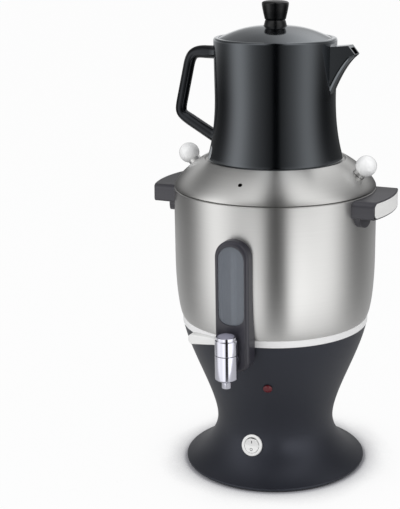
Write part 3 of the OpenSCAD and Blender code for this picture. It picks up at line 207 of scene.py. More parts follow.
# two large soft lamps give the plastic its form; polished surfaces see only the tent
lamp_away, lamp_aim = 1.7, 0.25
for label, turn, height, size, watts in (("left", -48, 1.5, 1.2, 17), ("right", 66, 1.3, 1.2, 11)):
    angle = view_turn + math.radians(turn)
    bpy.ops.object.light_add(
        type="AREA",
        location=(lamp_away * math.sin(angle), -lamp_away * math.cos(angle), height),
        rotation=(math.atan2(lamp_away, height - lamp_aim), 0, angle),
    )
    lamp = bpy.context.object
    lamp.name = "soft_lamp_" + label
    lamp.data.size = size
    lamp.data.energy = watts
    lamp.visible_glossy = False

# ------------------------------------------------------------------ base
# The pedestal is one hollow moulding in satin black plastic, narrow at the neck and flared at
# the foot. It has a flat seat for the switch, a hole for the pilot lamp, a raised box for the
# mains inlet and an inner shelf that the tank is bolted to.
mm = 0.001


def curve(a, b, c, d, steps):
    """Points of a smooth curve from a to d that is pulled towards b and c."""
    points = []
    for i in range(steps + 1):
        t = i / steps
        u = 1 - t
        points.append(tuple(
            u * u * u * a[k] + 3 * u * u * t * b[k] + 3 * u * t * t * c[k] + t * t * t * d[k]
            for k in range(len(a))
        ))
    return points


def wall_inside(points, thickness):
    """The same outline moved towards the axis by the thickness of the wall."""
    moved = []
    for i, (r, z) in enumerate(points):
        before, after = points[max(i - 1, 0)], points[min(i + 1, len(points) - 1)]
        dr, dz = after[0] - before[0], after[1] - before[1]
        length = math.hypot(dr, dz)
        moved.append((r - thickness * dz / length, z + thickness * dr / length))
    return moved


def bent_wire(name, points):
    """Starts a piece: one vertex, extruded along the points, in mm. Leaves it in edit mode."""
    bpy.ops.object.select_all(action="DESELECT")
    bpy.ops.mesh.primitive_plane_add(size=0.01)
    piece = bpy.context.object
    piece.name = name
    piece.data.name = name
    bpy.ops.object.mode_set(mode="EDIT")
    bpy.ops.mesh.select_mode(type="VERT")
    bpy.ops.mesh.select_all(action="SELECT")
    bpy.ops.mesh.merge(type="CENTER")
    bpy.ops.transform.translate(value=[c * mm for c in points[0]])
    for here, there in zip(points, points[1:]):
        step = [(there[k] - here[k]) * mm for k in range(3)]
        bpy.ops.mesh.extrude_region_move(TRANSFORM_OT_translate={"value": step})
    bpy.ops.mesh.select_all(action="SELECT")
    return piece


def take(piece):
    """Selects this piece alone."""
    bpy.ops.object.select_all(action="DESELECT")
    piece.select_set(True)
    bpy.context.view_layer.objects.active = piece


def smooth(piece, angle=30):
    """Smooth faces, with the edges above this angle kept sharp."""
    take(piece)
    bpy.ops.object.shade_smooth_by_angle(angle=math.radians(angle))
    bpy.ops.object.modifier_add(type="WEIGHTED_NORMAL")
    piece.modifiers[-1].keep_sharp = True
    bpy.ops.object.modifier_apply(modifier=piece.modifiers[-1].name)


def turned(name, outline, steps=160):
    """A piece spun round the upright axis from an outline of (radius, height) points in mm."""
    piece = bent_wire(name, [(r, 0, z) for r, z in outline])
    bpy.ops.mesh.spin(steps=steps, angle=2 * math.pi, center=(0, 0, 0), axis=(0, 0, 1))
    bpy.ops.mesh.select_all(action="SELECT")
    bpy.ops.mesh.remove_doubles(threshold=0.000004)
    bpy.ops.mesh.normals_make_consistent(inside=False)
    bpy.ops.object.mode_set(mode="OBJECT")
    smooth(piece)
    return piece


def place(piece, location=(0, 0, 0), rotation=(0, 0, 0)):
    """Turns and moves a piece, in mm, and puts that into its mesh."""
    take(piece)
    piece.rotation_euler = rotation
    piece.location = [c * mm for c in location]
    bpy.ops.object.transform_apply(location=True, rotation=True, scale=True)
    return piece


def block(name, low, high):
    """A box between two corners, in mm, as the start of a piece or a cut."""
    bpy.ops.object.select_all(action="DESELECT")
    bpy.ops.mesh.primitive_cube_add(size=1, location=[(a + b) / 2 * mm for a, b in zip(low, high)])
    piece = bpy.context.object
    piece.name = name
    piece.scale = [(b - a) * mm for a, b in zip(low, high)]
    bpy.ops.object.transform_apply(location=True, rotation=True, scale=True)
    return piece


def rod(name, radius, low, high, corners=64):
    """A straight cylinder on the upright axis, in mm, as a cutter or a blank."""
    bpy.ops.object.select_all(action="DESELECT")
    bpy.ops.mesh.primitive_cylinder_add(
        vertices=corners, radius=radius * mm, depth=(high - low) * mm,
        location=(0, 0, (low + high) / 2 * mm))
    piece = bpy.context.object
    piece.name = name
    bpy.ops.object.transform_apply(location=True, rotation=True, scale=True)
    return piece


def work(piece, other, operation="DIFFERENCE"):
    """Cuts other out of the piece, joins it on, or keeps what both share. The other is used up."""
    take(piece)
    bpy.ops.object.modifier_add(type="BOOLEAN")
    step = piece.modifiers[-1]
    step.operation = operation
    step.object = other
    step.solver = "EXACT"
    bpy.ops.object.modifier_apply(modifier=step.name)
    bpy.data.objects.remove(other)


def round_edges(piece, width, angle=40, segments=3):
    """Rounds every edge sharper than the angle, width in mm."""
    take(piece)
    bpy.ops.object.modifier_add(type="BEVEL")
    step = piece.modifiers[-1]
    step.width = width * mm
    step.segments = segments
    step.limit_method = "ANGLE"
    step.angle_limit = math.radians(angle)
    step.use_clamp_overlap = True
    bpy.ops.object.modifier_apply(modifier=step.name)


def moulded(name, colour, roughness, uneven=0.06, grain=0.0, grain_size=0.35, metal=0.0):
    """A finish with faint patches of tone and gloss and the fine grain of its mould or tool."""
    finish = bpy.data.materials.new(name)
    finish.use_nodes = True
    tree = finish.node_tree
    shader = tree.nodes["Principled BSDF"]
    shader.inputs["Metallic"].default_value = metal
    where = tree.nodes.new("ShaderNodeTexCoord")
    patches = tree.nodes.new("ShaderNodeTexNoise")
    patches.inputs["Scale"].default_value = 38
    patches.inputs["Detail"].default_value = 5
    tree.links.new(where.outputs["Object"], patches.inputs["Vector"])
    tone = tree.nodes.new("ShaderNodeMix")
    tone.data_type = "RGBA"
    tone.inputs[6].default_value = [c * (1 - uneven) for c in colour] + [1]
    tone.inputs[7].default_value = [min(1, c * (1 + uneven)) for c in colour] + [1]
    tree.links.new(patches.outputs["Fac"], tone.inputs["Factor"])
    tree.links.new(tone.outputs[2], shader.inputs["Base Color"])
    gloss = tree.nodes.new("ShaderNodeMapRange")
    gloss.inputs["To Min"].default_value = roughness * 0.88
    gloss.inputs["To Max"].default_value = roughness * 1.12
    tree.links.new(patches.outputs["Fac"], gloss.inputs["Value"])
    tree.links.new(gloss.outputs[0], shader.inputs["Roughness"])
    if grain:
        pores = tree.nodes.new("ShaderNodeTexNoise")
        pores.inputs["Scale"].default_value = 1000 / grain_size
        pores.inputs["Detail"].default_value = 2
        tree.links.new(where.outputs["Object"], pores.inputs["Vector"])
        relief = tree.nodes.new("ShaderNodeBump")
        relief.inputs["Strength"].default_value = grain
        relief.inputs["Distance"].default_value = 0.0001
        tree.links.new(pores.outputs["Fac"], relief.inputs["Height"])
        tree.links.new(relief.outputs[0], shader.inputs["Normal"])
    return finish


def fit(piece, body, finish, nodes=()):
    """Gives the piece its finish, its body and the CAD nodes that it stands for."""
    piece.data.materials.clear()
    piece.data.materials.append(finish)
    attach(piece, body)
    if nodes:
        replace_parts(piece, *nodes)


base_r, neck_r, neck_h, base_top_r, base_h = 97.5, 63, 49, 98.5, 159.6
foot_gap = 1.5
foot_r = 87.8
flare = curve((96.5, 4.2), (75.4, 13.16), (neck_r, 31.08), (neck_r, neck_h), 36)
bowl = curve((neck_r, neck_h), (neck_r, 77.76), (92.1, 125.31), (base_top_r, base_h), 44)
base_side = flare + bowl[1:]
base_wall = wall_inside(base_side, 3)
shelf_z, shelf_h, shelf_in_r = 146, 3, 74
inner_side = [p for p in reversed(base_wall) if 5.2 < p[1] < base_h]


def side_radius(side, z):
    """Radius of an outline at a height."""
    for (r0, z0), (r1, z1) in zip(side, side[1:]):
        if min(z0, z1) <= z <= max(z0, z1):
            return r0 + (r1 - r0) * (z - z0) / (z1 - z0)
    raise ValueError("no such height")


base_outline = (
    [(foot_r, foot_gap), (96.6, foot_gap), (97.1, 1.62), (97.4, 1.92), (base_r, 2.4), (base_r, 3.2),
     (97.3, 3.75), (96.95, 4.05)]
    + base_side
    + [(base_top_r - 0.3, base_h), (base_top_r - 2.8, base_h)]
    + [p for p in inner_side if p[1] > shelf_z + 3.5]
    + [(side_radius(base_wall, shelf_z + shelf_h), shelf_z + shelf_h), (shelf_in_r, shelf_z + shelf_h),
       (shelf_in_r, shelf_z), (side_radius(base_wall, shelf_z), shelf_z)]
    + [p for p in inner_side if p[1] < shelf_z - 0.5]
    + [(foot_r - 1, 4.5), (foot_r, 4.5), (foot_r, foot_gap)]
)
base = turned("base", base_outline, steps=192)

# flat seat and hole of the switch, on an axis that leans with the neck
switch_z, bezel_r = 37, 11.5
switch_lean = math.radians(17.33)
switch_out, seat_proud, seat_r = 64.895, 0.4, bezel_r + 0.3
switch_at = (0, -(switch_out + seat_proud * math.cos(switch_lean)),
             switch_z + seat_proud * math.sin(switch_lean))
switch_turn = (math.radians(90) - switch_lean, 0, 0)
work(base, place(rod("switch_boss", seat_r, -7, 0), switch_at, switch_turn), "UNION")
work(base, place(rod("switch_recess", seat_r, 0, 12), switch_at, switch_turn))
work(base, place(rod("switch_hole", 10.1, -30, 10), switch_at, switch_turn))
# hole of the pilot lamp
lamp_turn = (math.radians(90 + 22.3), 0, math.radians(16.5))
lamp_out, lamp_z = 81.46, 109.8
lamp_at = (lamp_out * math.sin(lamp_turn[2]), -lamp_out * math.cos(lamp_turn[2]), lamp_z)
work(base, place(rod("lamp_hole", 3.9, -12, 12, 48), lamp_at, lamp_turn))
# raised box of the mains inlet, hollow, with its opening
inlet_y, inlet_z = 72, 34
inlet_half, inlet_half_h, inlet_wall = 27.5, 14.5, 3
inlet_box = block("inlet_box", (-inlet_half, 51, inlet_z - inlet_half_h),
                  (inlet_half, inlet_y, inlet_z + inlet_half_h))
round_edges(inlet_box, 2, segments=4)
work(base, inlet_box, "UNION")
work(base, block("inlet_hollow", (inlet_wall - inlet_half, 51.5, inlet_z - inlet_half_h + inlet_wall),
                 (inlet_half - inlet_wall, inlet_y - inlet_wall, inlet_z + inlet_half_h - inlet_wall)))
work(base, block("inlet_front", (-inlet_half, inlet_y, inlet_z - inlet_half_h),
                 (inlet_half, inlet_y + 30, inlet_z + inlet_half_h)))
work(base, block("inlet_opening", (-14.6, inlet_y - 10, inlet_z - 9.6), (14.6, inlet_y + 10, inlet_z + 9.6)))
smooth(base)
satin_black = moulded("satin_black_plastic", (0.0160, 0.0172, 0.0225), 0.42, grain=0.10, grain_size=0.30)
satin_black.node_tree.nodes["Principled BSDF"].inputs["Specular Tint"].default_value = (0.80, 0.84, 1.0, 1)
fit(base, "samovar", satin_black, ["base_shell"])

# ------------------------------------------------------------------ under the base
# A flat cover with air slots closes the base. Four screws hold it, and a rubber ring in its
# groove is what the samovar stands on.


def dress(names, finish):
    """Gives CAD nodes their finish."""
    for name in names:
        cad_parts[name].data.materials.clear()
        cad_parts[name].data.materials.append(finish)


foot_rubber = moulded("foot_rubber", (0.022, 0.022, 0.024), 0.78, uneven=0.15, grain=0.35, grain_size=0.5)
plated_screw = moulded("plated_screw", (0.62, 0.62, 0.60), 0.28, metal=1.0, grain=0.1, grain_size=0.25)
dress(["base_cover"], satin_black)
dress(["foot_ring"], foot_rubber)
dress(["base_screws", "inlet_screws", "tank_nuts", "tank_studs", "knob_nuts", "lid_knob_screw",
       "housing_screw", "handle_screws"], plated_screw)

# ------------------------------------------------------------------ power switch
# A round white switch body is pressed into its hole, and a white rocker tips in its pocket.
# The marks I and O are printed on the rocker.
body_white = moulded("white_switch_plastic", (0.95, 0.95, 0.945), 0.26, uneven=0.02, grain=0.04, grain_size=0.3)
switch = turned("switch_body", [
    (10.1, -15), (10.1, -0.1), (11.3, 0), (bezel_r, 0.25), (bezel_r, 1.1), (11.38, 1.5), (11.05, 1.85),
    (10.6, 2.0), (9.1, 2.0), (8.7, 1.9), (8.45, 1.6), (8.4, 1.2), (8.4, -6), (0, -6), (0, -15)], steps=96)
place(switch, switch_at, switch_turn)
fit(switch, "samovar", body_white, ["switch_bezel"])

rocker_half, rocker_tip = 8.2, math.radians(9)
horn_y, horn_z, middle_z = 6.9, 3.15, 1.68
rocker = bent_wire("rocker", [(-rocker_half, y, z) for y, z in (
    (-5.5, -3.4), (5.5, -3.4), (7.9, 2.9), (horn_y, horn_z), (3.4, 2.25), (0.8, middle_z), (-0.8, middle_z),
    (-3.4, 2.25), (-horn_y, horn_z), (-7.9, 2.9))])
bpy.ops.mesh.edge_face_add()
bpy.ops.mesh.extrude_region_move(TRANSFORM_OT_translate={"value": (2 * rocker_half * mm, 0, 0)})
bpy.ops.mesh.select_all(action="SELECT")
bpy.ops.mesh.normals_make_consistent(inside=False)
bpy.ops.object.mode_set(mode="OBJECT")
work(rocker, rod("rocker_round", 7.8, -8, 8, 72), "INTERSECT")
round_edges(rocker, 0.35, 35, 2)
rocker_pin = place(rod("rocker_pin", 1.2, -9.2, 9.2, 24), rotation=(0, math.radians(90), 0))
work(rocker, rocker_pin, "UNION")
smooth(rocker)
place(rocker, rotation=(rocker_tip, 0, 0))
place(rocker, switch_at, switch_turn)
fit(rocker, "rocker", body_white, ["power_rocker"])

# each mark lies on its half of the rocker and follows its slope
mark_ink = moulded("mark_ink", (0.03, 0.03, 0.035), 0.5)
mark_y, mark_low, mark_top, mark_seat = 4.05, 2.0, 2.08, 2.44
mark_i = block("mark_i", (-0.4, 2.5, mark_low), (0.4, 5.6, mark_top))
round_edges(mark_i, 0.03, segments=1)
mark_o = turned("mark_o", [(1.05, mark_low), (1.55, mark_low), (1.55, mark_top), (1.05, mark_top),
                           (1.05, mark_low)], steps=40)
place(mark_o, (0, -mark_y, 0))
slope = math.atan2(horn_z - middle_z, horn_y - 0.8)
for mark, side in ((mark_i, 1), (mark_o, -1)):
    place(mark, (0, 0, -mark_low))
    place(mark, (0, -side * mark_y, 0))
    place(mark, rotation=(side * slope, 0, 0))
    place(mark, (0, side * mark_y, mark_seat))
    place(mark, rotation=(rocker_tip, 0, 0))
    place(mark, switch_at, switch_turn)
    fit(mark, "rocker", mark_ink)

switch_brass = moulded("brass", (0.62, 0.47, 0.20), 0.3, uneven=0.1, metal=1.0, grain=0.1, grain_size=0.3)
dress(["switch_terminals", "inlet_pins", "thermal_cutout", "tap_bonnet", "tap_plug"], switch_brass)

# ------------------------------------------------------------------ pilot lamp
# A domed lens of dark red plastic is clipped over its holder, low on the front of the base.
lens_ball_r, lens_ball_z, lens_spread = 7.2, -4, 0.68
lens = turned("pilot_lens", [(0, 1.8), (2.4, 1.8), (2.4, 0.4), (4.5, 0.4), (4.7, 0.6), (4.7, 1.3)]
              + [(lens_ball_r * math.sin(a), lens_ball_z + lens_ball_r * math.cos(a))
                 for a in [lens_spread * (9 - i) / 9 for i in range(10)]], steps=72)
place(lens, lamp_at, lamp_turn)
lens_red = moulded("lens_red", (0.115, 0.006, 0.013), 0.36, uneven=0.12)
lens_shader = lens_red.node_tree.nodes["Principled BSDF"]
lens_shader.inputs["Emission Color"].default_value = (0.5, 0.005, 0.01, 1)
lens_shader.inputs["Emission Strength"].default_value = 0.02
fit(lens, "samovar", lens_red, ["lamp_lens"])
dress(["lamp_body"], satin_black)

# ------------------------------------------------------------------ mains inlet and wiring
# A black appliance inlet with three contacts is screwed to the raised box at the back. The
# leads inside run to the switch, the lamp and the heater.
socket_black = moulded("socket_black", (0.018, 0.018, 0.020), 0.34, grain=0.08, grain_size=0.4)
dress(["power_inlet"], socket_black)
lead_skin = moulded("lead_insulation", (0.42, 0.05, 0.04), 0.45, uneven=0.05, grain=0.05, grain_size=0.6)
dress(["wiring"], lead_skin)

# ------------------------------------------------------------------ white ring
# A white plastic ring lies between the base and the tank and hides the gasket's edge.
ring = turned("white_ring", [
    (92, 154.6), (93.8, 154.6), (93.8, base_h), (98.5, base_h), (98.8, 159.75), (98.95, 160.0), (99, 160.4),
    (99, 166.0), (98.95, 166.4), (98.8, 166.65), (98.5, 166.8), (96.6, 166.8), (96.6, 165.6), (92.6, 165.6),
    (92.6, 166.6), (92, 166.6), (92, 154.6)], steps=192)
ring_white = moulded("white_ring_plastic", (0.95, 0.95, 0.955), 0.32, uneven=0.02, grain=0.05, grain_size=0.3)
fit(ring, "samovar", ring_white, ["trim_ring"])

# ------------------------------------------------------------------ tank
# The vessel is pressed from stainless steel sheet, brushed round its axis, with a rolled rim.
# Its drum stands inside the base on a silicone gasket, bolted to the shelf.


def brushed(name, colour, roughness, depth=0.25, streak=0.06):
    """Steel brushed round the upright axis: fine lines that run level, with faint longer streaks."""
    finish = bpy.data.materials.new(name)
    finish.use_nodes = True
    tree = finish.node_tree
    shader = tree.nodes["Principled BSDF"]
    shader.inputs["Metallic"].default_value = 1.0
    shader.inputs["Anisotropic"].default_value = 0.85
    shader.inputs["Anisotropic Rotation"].default_value = 0.25
    where = tree.nodes.new("ShaderNodeTexCoord")
    fine = tree.nodes.new("ShaderNodeMapping")
    fine.inputs["Scale"].default_value = (26, 26, 3200)
    tree.links.new(where.outputs["Object"], fine.inputs["Vector"])
    lines = tree.nodes.new("ShaderNodeTexNoise")
    lines.inputs["Scale"].default_value = 1.0
    lines.inputs["Detail"].default_value = 3
    tree.links.new(fine.outputs[0], lines.inputs["Vector"])
    wide = tree.nodes.new("ShaderNodeMapping")
    wide.inputs["Scale"].default_value = (9, 9, 620)
    tree.links.new(where.outputs["Object"], wide.inputs["Vector"])
    streaks = tree.nodes.new("ShaderNodeTexNoise")
    streaks.inputs["Scale"].default_value = 1.0
    streaks.inputs["Detail"].default_value = 4
    tree.links.new(wide.outputs[0], streaks.inputs["Vector"])
    both = tree.nodes.new("ShaderNodeMix")
    both.inputs["Factor"].default_value = 0.5
    tree.links.new(lines.outputs["Fac"], both.inputs["A"])
    tree.links.new(streaks.outputs["Fac"], both.inputs["B"])
    tone = tree.nodes.new("ShaderNodeMix")
    tone.data_type = "RGBA"
    tone.inputs[6].default_value = [c * (1 - streak) for c in colour] + [1]
    tone.inputs[7].default_value = [min(1, c * (1 + streak)) for c in colour] + [1]
    tree.links.new(both.outputs["Result"], tone.inputs["Factor"])
    tree.links.new(tone.outputs[2], shader.inputs["Base Color"])
    gloss = tree.nodes.new("ShaderNodeMapRange")
    gloss.inputs["To Min"].default_value = roughness * 0.85
    gloss.inputs["To Max"].default_value = roughness * 1.15
    tree.links.new(both.outputs["Result"], gloss.inputs["Value"])
    tree.links.new(gloss.outputs[0], shader.inputs["Roughness"])
    relief = tree.nodes.new("ShaderNodeBump")
    relief.inputs["Strength"].default_value = depth
    relief.inputs["Distance"].default_value = 0.00003
    tree.links.new(lines.outputs["Fac"], relief.inputs["Height"])
    tree.links.new(relief.outputs[0], shader.inputs["Normal"])
    return finish


tank_r, shoulder_z, rim_z = 105.8, 166.8, 305.8
tank_side = curve((98.6, 167.2), (102.6, 172.0), (tank_r, 199.95), (tank_r, 231.8), 48)
tank_lining = wall_inside(tank_side, 1)
tank = turned("tank", [(0, 155), (90.7, 155), (91.3, 155.2), (91.5, 155.8), (91.5, shoulder_z),
                       (98.4, shoulder_z)]
              + tank_side
              + [(tank_r, 262), (tank_r, 290), (tank_r, 304.4), (105.65, 304.95), (105.2, 305.4),
                 (104.4, 305.7), (103.8, rim_z), (102.9, rim_z), (102.5, 305.6), (102.3, 305.2), (102.3, 304.4),
                 (tank_r - 1, 304.4), (tank_r - 1, 262)]
              + tank_lining[::-1]
              + [(90.5, 168.2), (90.5, 156.8), (89.8, 156), (0, 156)], steps=192)
tank_steel = brushed("brushed_tank_steel", (0.62, 0.617, 0.607), 0.34)
fit(tank, "samovar", tank_steel, ["tank"])

clear_silicone = moulded("silicone", (0.62, 0.64, 0.62), 0.5, uneven=0.04)
dress(["tank_gasket", "gauge_seals", "manifold_seal", "screw_seals"], clear_silicone)
cast_aluminium = moulded("cast_aluminium", (0.66, 0.66, 0.67), 0.45, metal=1.0, grain=0.3, grain_size=0.8)
dress(["heater_plate", "heating_element"], cast_aluminium)
dress(["thermostats"], socket_black)

# ------------------------------------------------------------------ side handles
# Each handle is a hollow black grip with round lobes below it, which two screws from inside the
# tank pull against the wall. A plate of brushed metal is set flush into its outer face.
grip_r, grip_z, grip_top, grip_half = 128, 287, 305, 41
grip_in_r, pad_r = 105.9, 111.9
lobe_r, lobe_y, lobe_z = 10.5, 26.5, 286.5
handle_black = moulded("handle_plastic", (0.046, 0.045, 0.054), 0.36, grain=0.10, grain_size=0.35)
plate_metal = brushed("brushed_plate", (0.97, 0.97, 0.96), 0.45, depth=0.35, streak=0.03)
plate_metal.node_tree.nodes["Principled BSDF"].inputs["Metallic"].default_value = 0.10


def ring_blank(name, r_in, r_out, low, high):
    """A thick ring as a cutter or a blank, in mm."""
    return turned(name, [(r_in, low), (r_out, low), (r_out, high), (r_in, high), (r_in, low)], steps=360)


def round_these(piece, width, segments, test):
    """Rounds the edges whose two ends pass the test, in mm."""
    take(piece)
    bpy.ops.object.mode_set(mode="EDIT")
    bpy.ops.mesh.select_mode(type="EDGE")
    bpy.ops.mesh.select_all(action="DESELECT")
    bpy.ops.object.mode_set(mode="OBJECT")
    for edge in piece.data.edges:
        a, b = (piece.data.vertices[v].co for v in edge.vertices)
        edge.select = test(a / mm, b / mm)
    bpy.ops.object.mode_set(mode="EDIT")
    bpy.ops.mesh.bevel(offset=width * mm, segments=segments, affect="EDGES")
    bpy.ops.mesh.select_mode(type="VERT")
    bpy.ops.object.mode_set(mode="OBJECT")


handle = block("right_grip", (60, -grip_half, grip_z), (140, grip_half, grip_top))
round_these(handle, 6, 8, lambda a, b: abs(a.x - b.x) > 10 and a.z > grip_top - 1)
round_these(handle, 2.5, 4, lambda a, b: abs(a.x - b.x) > 10 and a.z < grip_z + 1)
work(handle, ring_blank("grip_ring", grip_in_r, grip_r, grip_z - 5, grip_top + 5), "INTERSECT")
recess = block("recess", (60, -grip_half + 3, grip_z - 4), (140, grip_half - 3, grip_top - 3))
work(recess, ring_blank("recess_ring", pad_r, 123.8, grip_z - 8, grip_top + 5), "INTERSECT")
work(handle, recess)
level = (0, math.radians(90), 0)
lobes = place(rod("lobe", lobe_r, 60, 140, 72), (0, -lobe_y, lobe_z), level)
other_lobe = place(rod("other_lobe", lobe_r, 60, 140, 72), (0, lobe_y, lobe_z), level)
work(lobes, other_lobe, "UNION")
work(lobes, ring_blank("lobe_ring", grip_in_r, pad_r, 260, 297.2), "INTERSECT")
work(handle, lobes, "UNION")
plate_edge = 1.3
plate = block("right_plate", (60, -grip_half + plate_edge, grip_z + plate_edge),
              (140, grip_half - plate_edge, grip_top - plate_edge))
round_these(plate, 5.5, 8, lambda a, b: abs(a.x - b.x) > 10)
plate_seat = plate.copy()
plate_seat.data = plate.data.copy()
bpy.context.collection.objects.link(plate_seat)
work(plate_seat, ring_blank("seat_ring", 126.7, 131, 270, 320), "INTERSECT")
work(handle, plate_seat)
round_these(handle, 1.2, 3, lambda a, b: min(math.hypot(a.x, a.y), math.hypot(b.x, b.y)) > grip_r - 0.3
            and (abs(a.y) > grip_half - 7 or a.z > grip_top - 0.5 or a.z < grip_z + 0.5)
            and (abs(b.y) > grip_half - 7 or b.z > grip_top - 0.5 or b.z < grip_z + 0.5)
            and not (abs(a.y) < grip_half - 1.2 and grip_z + 1 < a.z < grip_top - 1))
smooth(handle)
plate.scale = (1, 0.997, 1)
take(plate)
bpy.ops.object.transform_apply(location=True, rotation=True, scale=True)
work(plate, ring_blank("plate_ring", 126.8, grip_r - 0.1, 288.4, 303.6), "INTERSECT")
smooth(plate)
for side, label in ((1, "right"), (-1, "left")):
    for part, finish, slot, node in ((handle, handle_black, "black_plastic", "_handle"),
                                     (plate, plate_metal, "insert_metal", "_handle_insert")):
        piece = part
        if side < 0:
            take(part)
            bpy.ops.object.duplicate()
            piece = bpy.context.object
            piece.parent = None
            piece.scale = (-1, 1, 1)
            bpy.ops.object.transform_apply(location=True, rotation=True, scale=True)
            bpy.ops.object.mode_set(mode="EDIT")
            bpy.ops.mesh.select_all(action="SELECT")
            bpy.ops.mesh.normals_make_consistent(inside=False)
            bpy.ops.object.mode_set(mode="OBJECT")
            if "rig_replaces" in piece:
                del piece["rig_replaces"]
            piece.name = part.name.replace("right", "left")
        fit(piece, "samovar", finish, [label + node])

# ------------------------------------------------------------------ water gauge
# A dark grey housing stands against the tank and hides the sight tube behind a smoky window.
# Below the tank it covers the water block that feeds the tap.
face_y, gauge_low, gauge_top = -116.8, 138, 273
gauge_grey = moulded("gauge_housing_plastic", (0.029, 0.028, 0.038), 0.36, grain=0.08, grain_size=0.35)


def tall_outline(width, low, high, low_r, y, steps=28):
    """Outline of a tall slot with a round top and round lower corners, at y, in mm."""
    half = width / 2
    points = [(half * math.cos(math.pi * i / steps), y, high - half + half * math.sin(math.pi * i / steps))
              for i in range(steps + 1)]
    for cx, start in ((-half + low_r, math.pi), (half - low_r, 1.5 * math.pi)):
        points += [(cx + low_r * math.cos(start + 0.5 * math.pi * i / 10), y,
                    low + low_r + low_r * math.sin(start + 0.5 * math.pi * i / 10)) for i in range(11)]
    return points


def slab(name, points, depth):
    """A flat outline in mm, filled and extruded by a vector in mm."""
    piece = bent_wire(name, points)
    bpy.ops.mesh.remove_doubles(threshold=0.000004)
    bpy.ops.mesh.edge_face_add()
    bpy.ops.mesh.select_all(action="SELECT")
    bpy.ops.mesh.extrude_region_move(TRANSFORM_OT_translate={"value": [c * mm for c in depth]})
    bpy.ops.mesh.select_all(action="SELECT")
    bpy.ops.mesh.normals_make_consistent(inside=False)
    bpy.ops.object.mode_set(mode="OBJECT")
    return piece


housing = slab("gauge_housing_piece", tall_outline(36, gauge_low, gauge_top, 12, face_y), (0, 25.3, 0))
round_these(housing, 3.8, 6, lambda a, b: abs(a.y - face_y) < 0.01 and abs(b.y - face_y) < 0.01)
backing = turned("gauge_backing", [(0, 130), (101, 130), (101, shoulder_z + 3)]
                 + [(r + 0.1, z) for r, z in tank_side if r > 101 and z > shoulder_z + 3.5]
                 + [(tank_r + 0.1, 300), (0, 300)], steps=192)
work(housing, backing)
cavity = slab("gauge_cavity", tall_outline(30, gauge_low + 2.4, 268.7, 9, face_y + 2.4), (0, 25, 0))
work(cavity, rod("cavity_back", 103.4, 120, shoulder_z + 1, 128))
work(housing, cavity)
work(housing, slab("window_opening", tall_outline(28, 186.8, 267.5, 11, face_y - 2), (0, 6, 0)))
shank_z, forward = 153, (math.radians(90), 0, 0)
work(housing, place(rod("nut_recess", 10.5, -1.2, 5, 64), (0, face_y, shank_z), forward))
work(housing, place(rod("shank_hole", 4.8, -4, 5, 48), (0, face_y, shank_z), forward))
smooth(housing, 28)
fit(housing, "samovar", gauge_grey, ["gauge_housing"])

window_in = 0.55
window = slab("gauge_window_piece", tall_outline(27.8, 186.9, 267.4, 10.9, face_y + window_in), (0, 1.8, 0))
round_these(window, 0.35, 2, lambda a, b: abs(a.y - face_y - window_in) < 0.01
            and abs(b.y - face_y - window_in) < 0.01)
smooth(window)
smoky = moulded("smoky_window", (0.150, 0.170, 0.205), 0.16, uneven=0.03)
smoky_shader = smoky.node_tree.nodes["Principled BSDF"]
smoky_shader.inputs["Alpha"].default_value = 0.66
smoky_shader.inputs["Coat Weight"].default_value = 0.3
fit(window, "samovar", smoky, ["gauge_window"])

sight_glass = moulded("sight_glass", (0.78, 0.83, 0.87), 0.15, uneven=0.02)
sight_shader = sight_glass.node_tree.nodes["Principled BSDF"]
# the tube glows faintly: painted light that brightens it in the dark housing behind the smoky window
sight_shader.inputs["Emission Color"].default_value = (0.75, 0.85, 0.95, 1)
sight_shader.inputs["Emission Strength"].default_value = 0.2
dress(["gauge_tube"], sight_glass)
dress(["gauge_manifold"], gauge_grey)
dress(["manifold_nut"], body_white)
dress(["tap_o_ring"], foot_rubber)

# ------------------------------------------------------------------ tap
# The chrome body is held by a nut on its shank, with a short nozzle below. The sleeve above the
# joint, its white lever and dark cap turn on the stem together.
tap_at = (0, -129.4, 0)
tap_chrome = moulded("tap_chrome", (0.585, 0.585, 0.655), 0.10, uneven=0.015, metal=1.0)
tap_body = turned("tap_body_piece", [
    (4.05, 133), (6.2, 133), (6.6, 133.12), (10.6, 135.6), (11.0, 136.0), (11.2, 136.6), (11.2, 160.5),
    (11.1, 160.85), (10.8, 161), (9.0, 161), (9.0, 139), (7.5, 139), (7.5, 148), (5.05, 148), (5.05, 139),
    (2.5, 139), (2.5, 137), (4.05, 137), (4.05, 133)], steps=96)
place(tap_body, tap_at)
work(tap_body, place(rod("shank", 4.5, 107.45, 120.0, 48), (0, 0, shank_z), forward), "UNION")
smooth(tap_body)
fit(tap_body, "samovar", tap_chrome, ["tap_body"])
nozzle = turned("tap_nozzle_piece", [
    (3.2, 126), (4.2, 126), (4.5, 126.12), (4.6, 126.4), (4.6, 132.9), (4.0, 132.95), (4.0, 136.6),
    (3.2, 136.6), (3.2, 126)], steps=72)
place(nozzle, tap_at)
fit(nozzle, "samovar", tap_chrome, ["tap_nozzle"])
dress(["tap_nut"], tap_chrome)

sleeve = turned("tap_sleeve_piece", [
    (3.05, 161.3), (10.8, 161.3), (11.1, 161.45), (11.2, 161.8), (11.2, 175.6), (11.05, 176.2), (10.6, 176.8),
    (10.2, 177.2), (10.1, 177.6), (10.1, 179.4), (10.0, 179.8), (9.7, 180), (9.0, 180), (8.7, 179.85),
    (8.6, 179.5), (8.6, 163.7), (3.05, 163.7), (3.05, 161.3)], steps=96)
work(sleeve, block("lever_slot", (-12.5, -5, 170.1), (0, 5, 177.1)))
place(sleeve, tap_at)
smooth(sleeve)
fit(sleeve, "tap_handle", tap_chrome, ["tap_sleeve"])

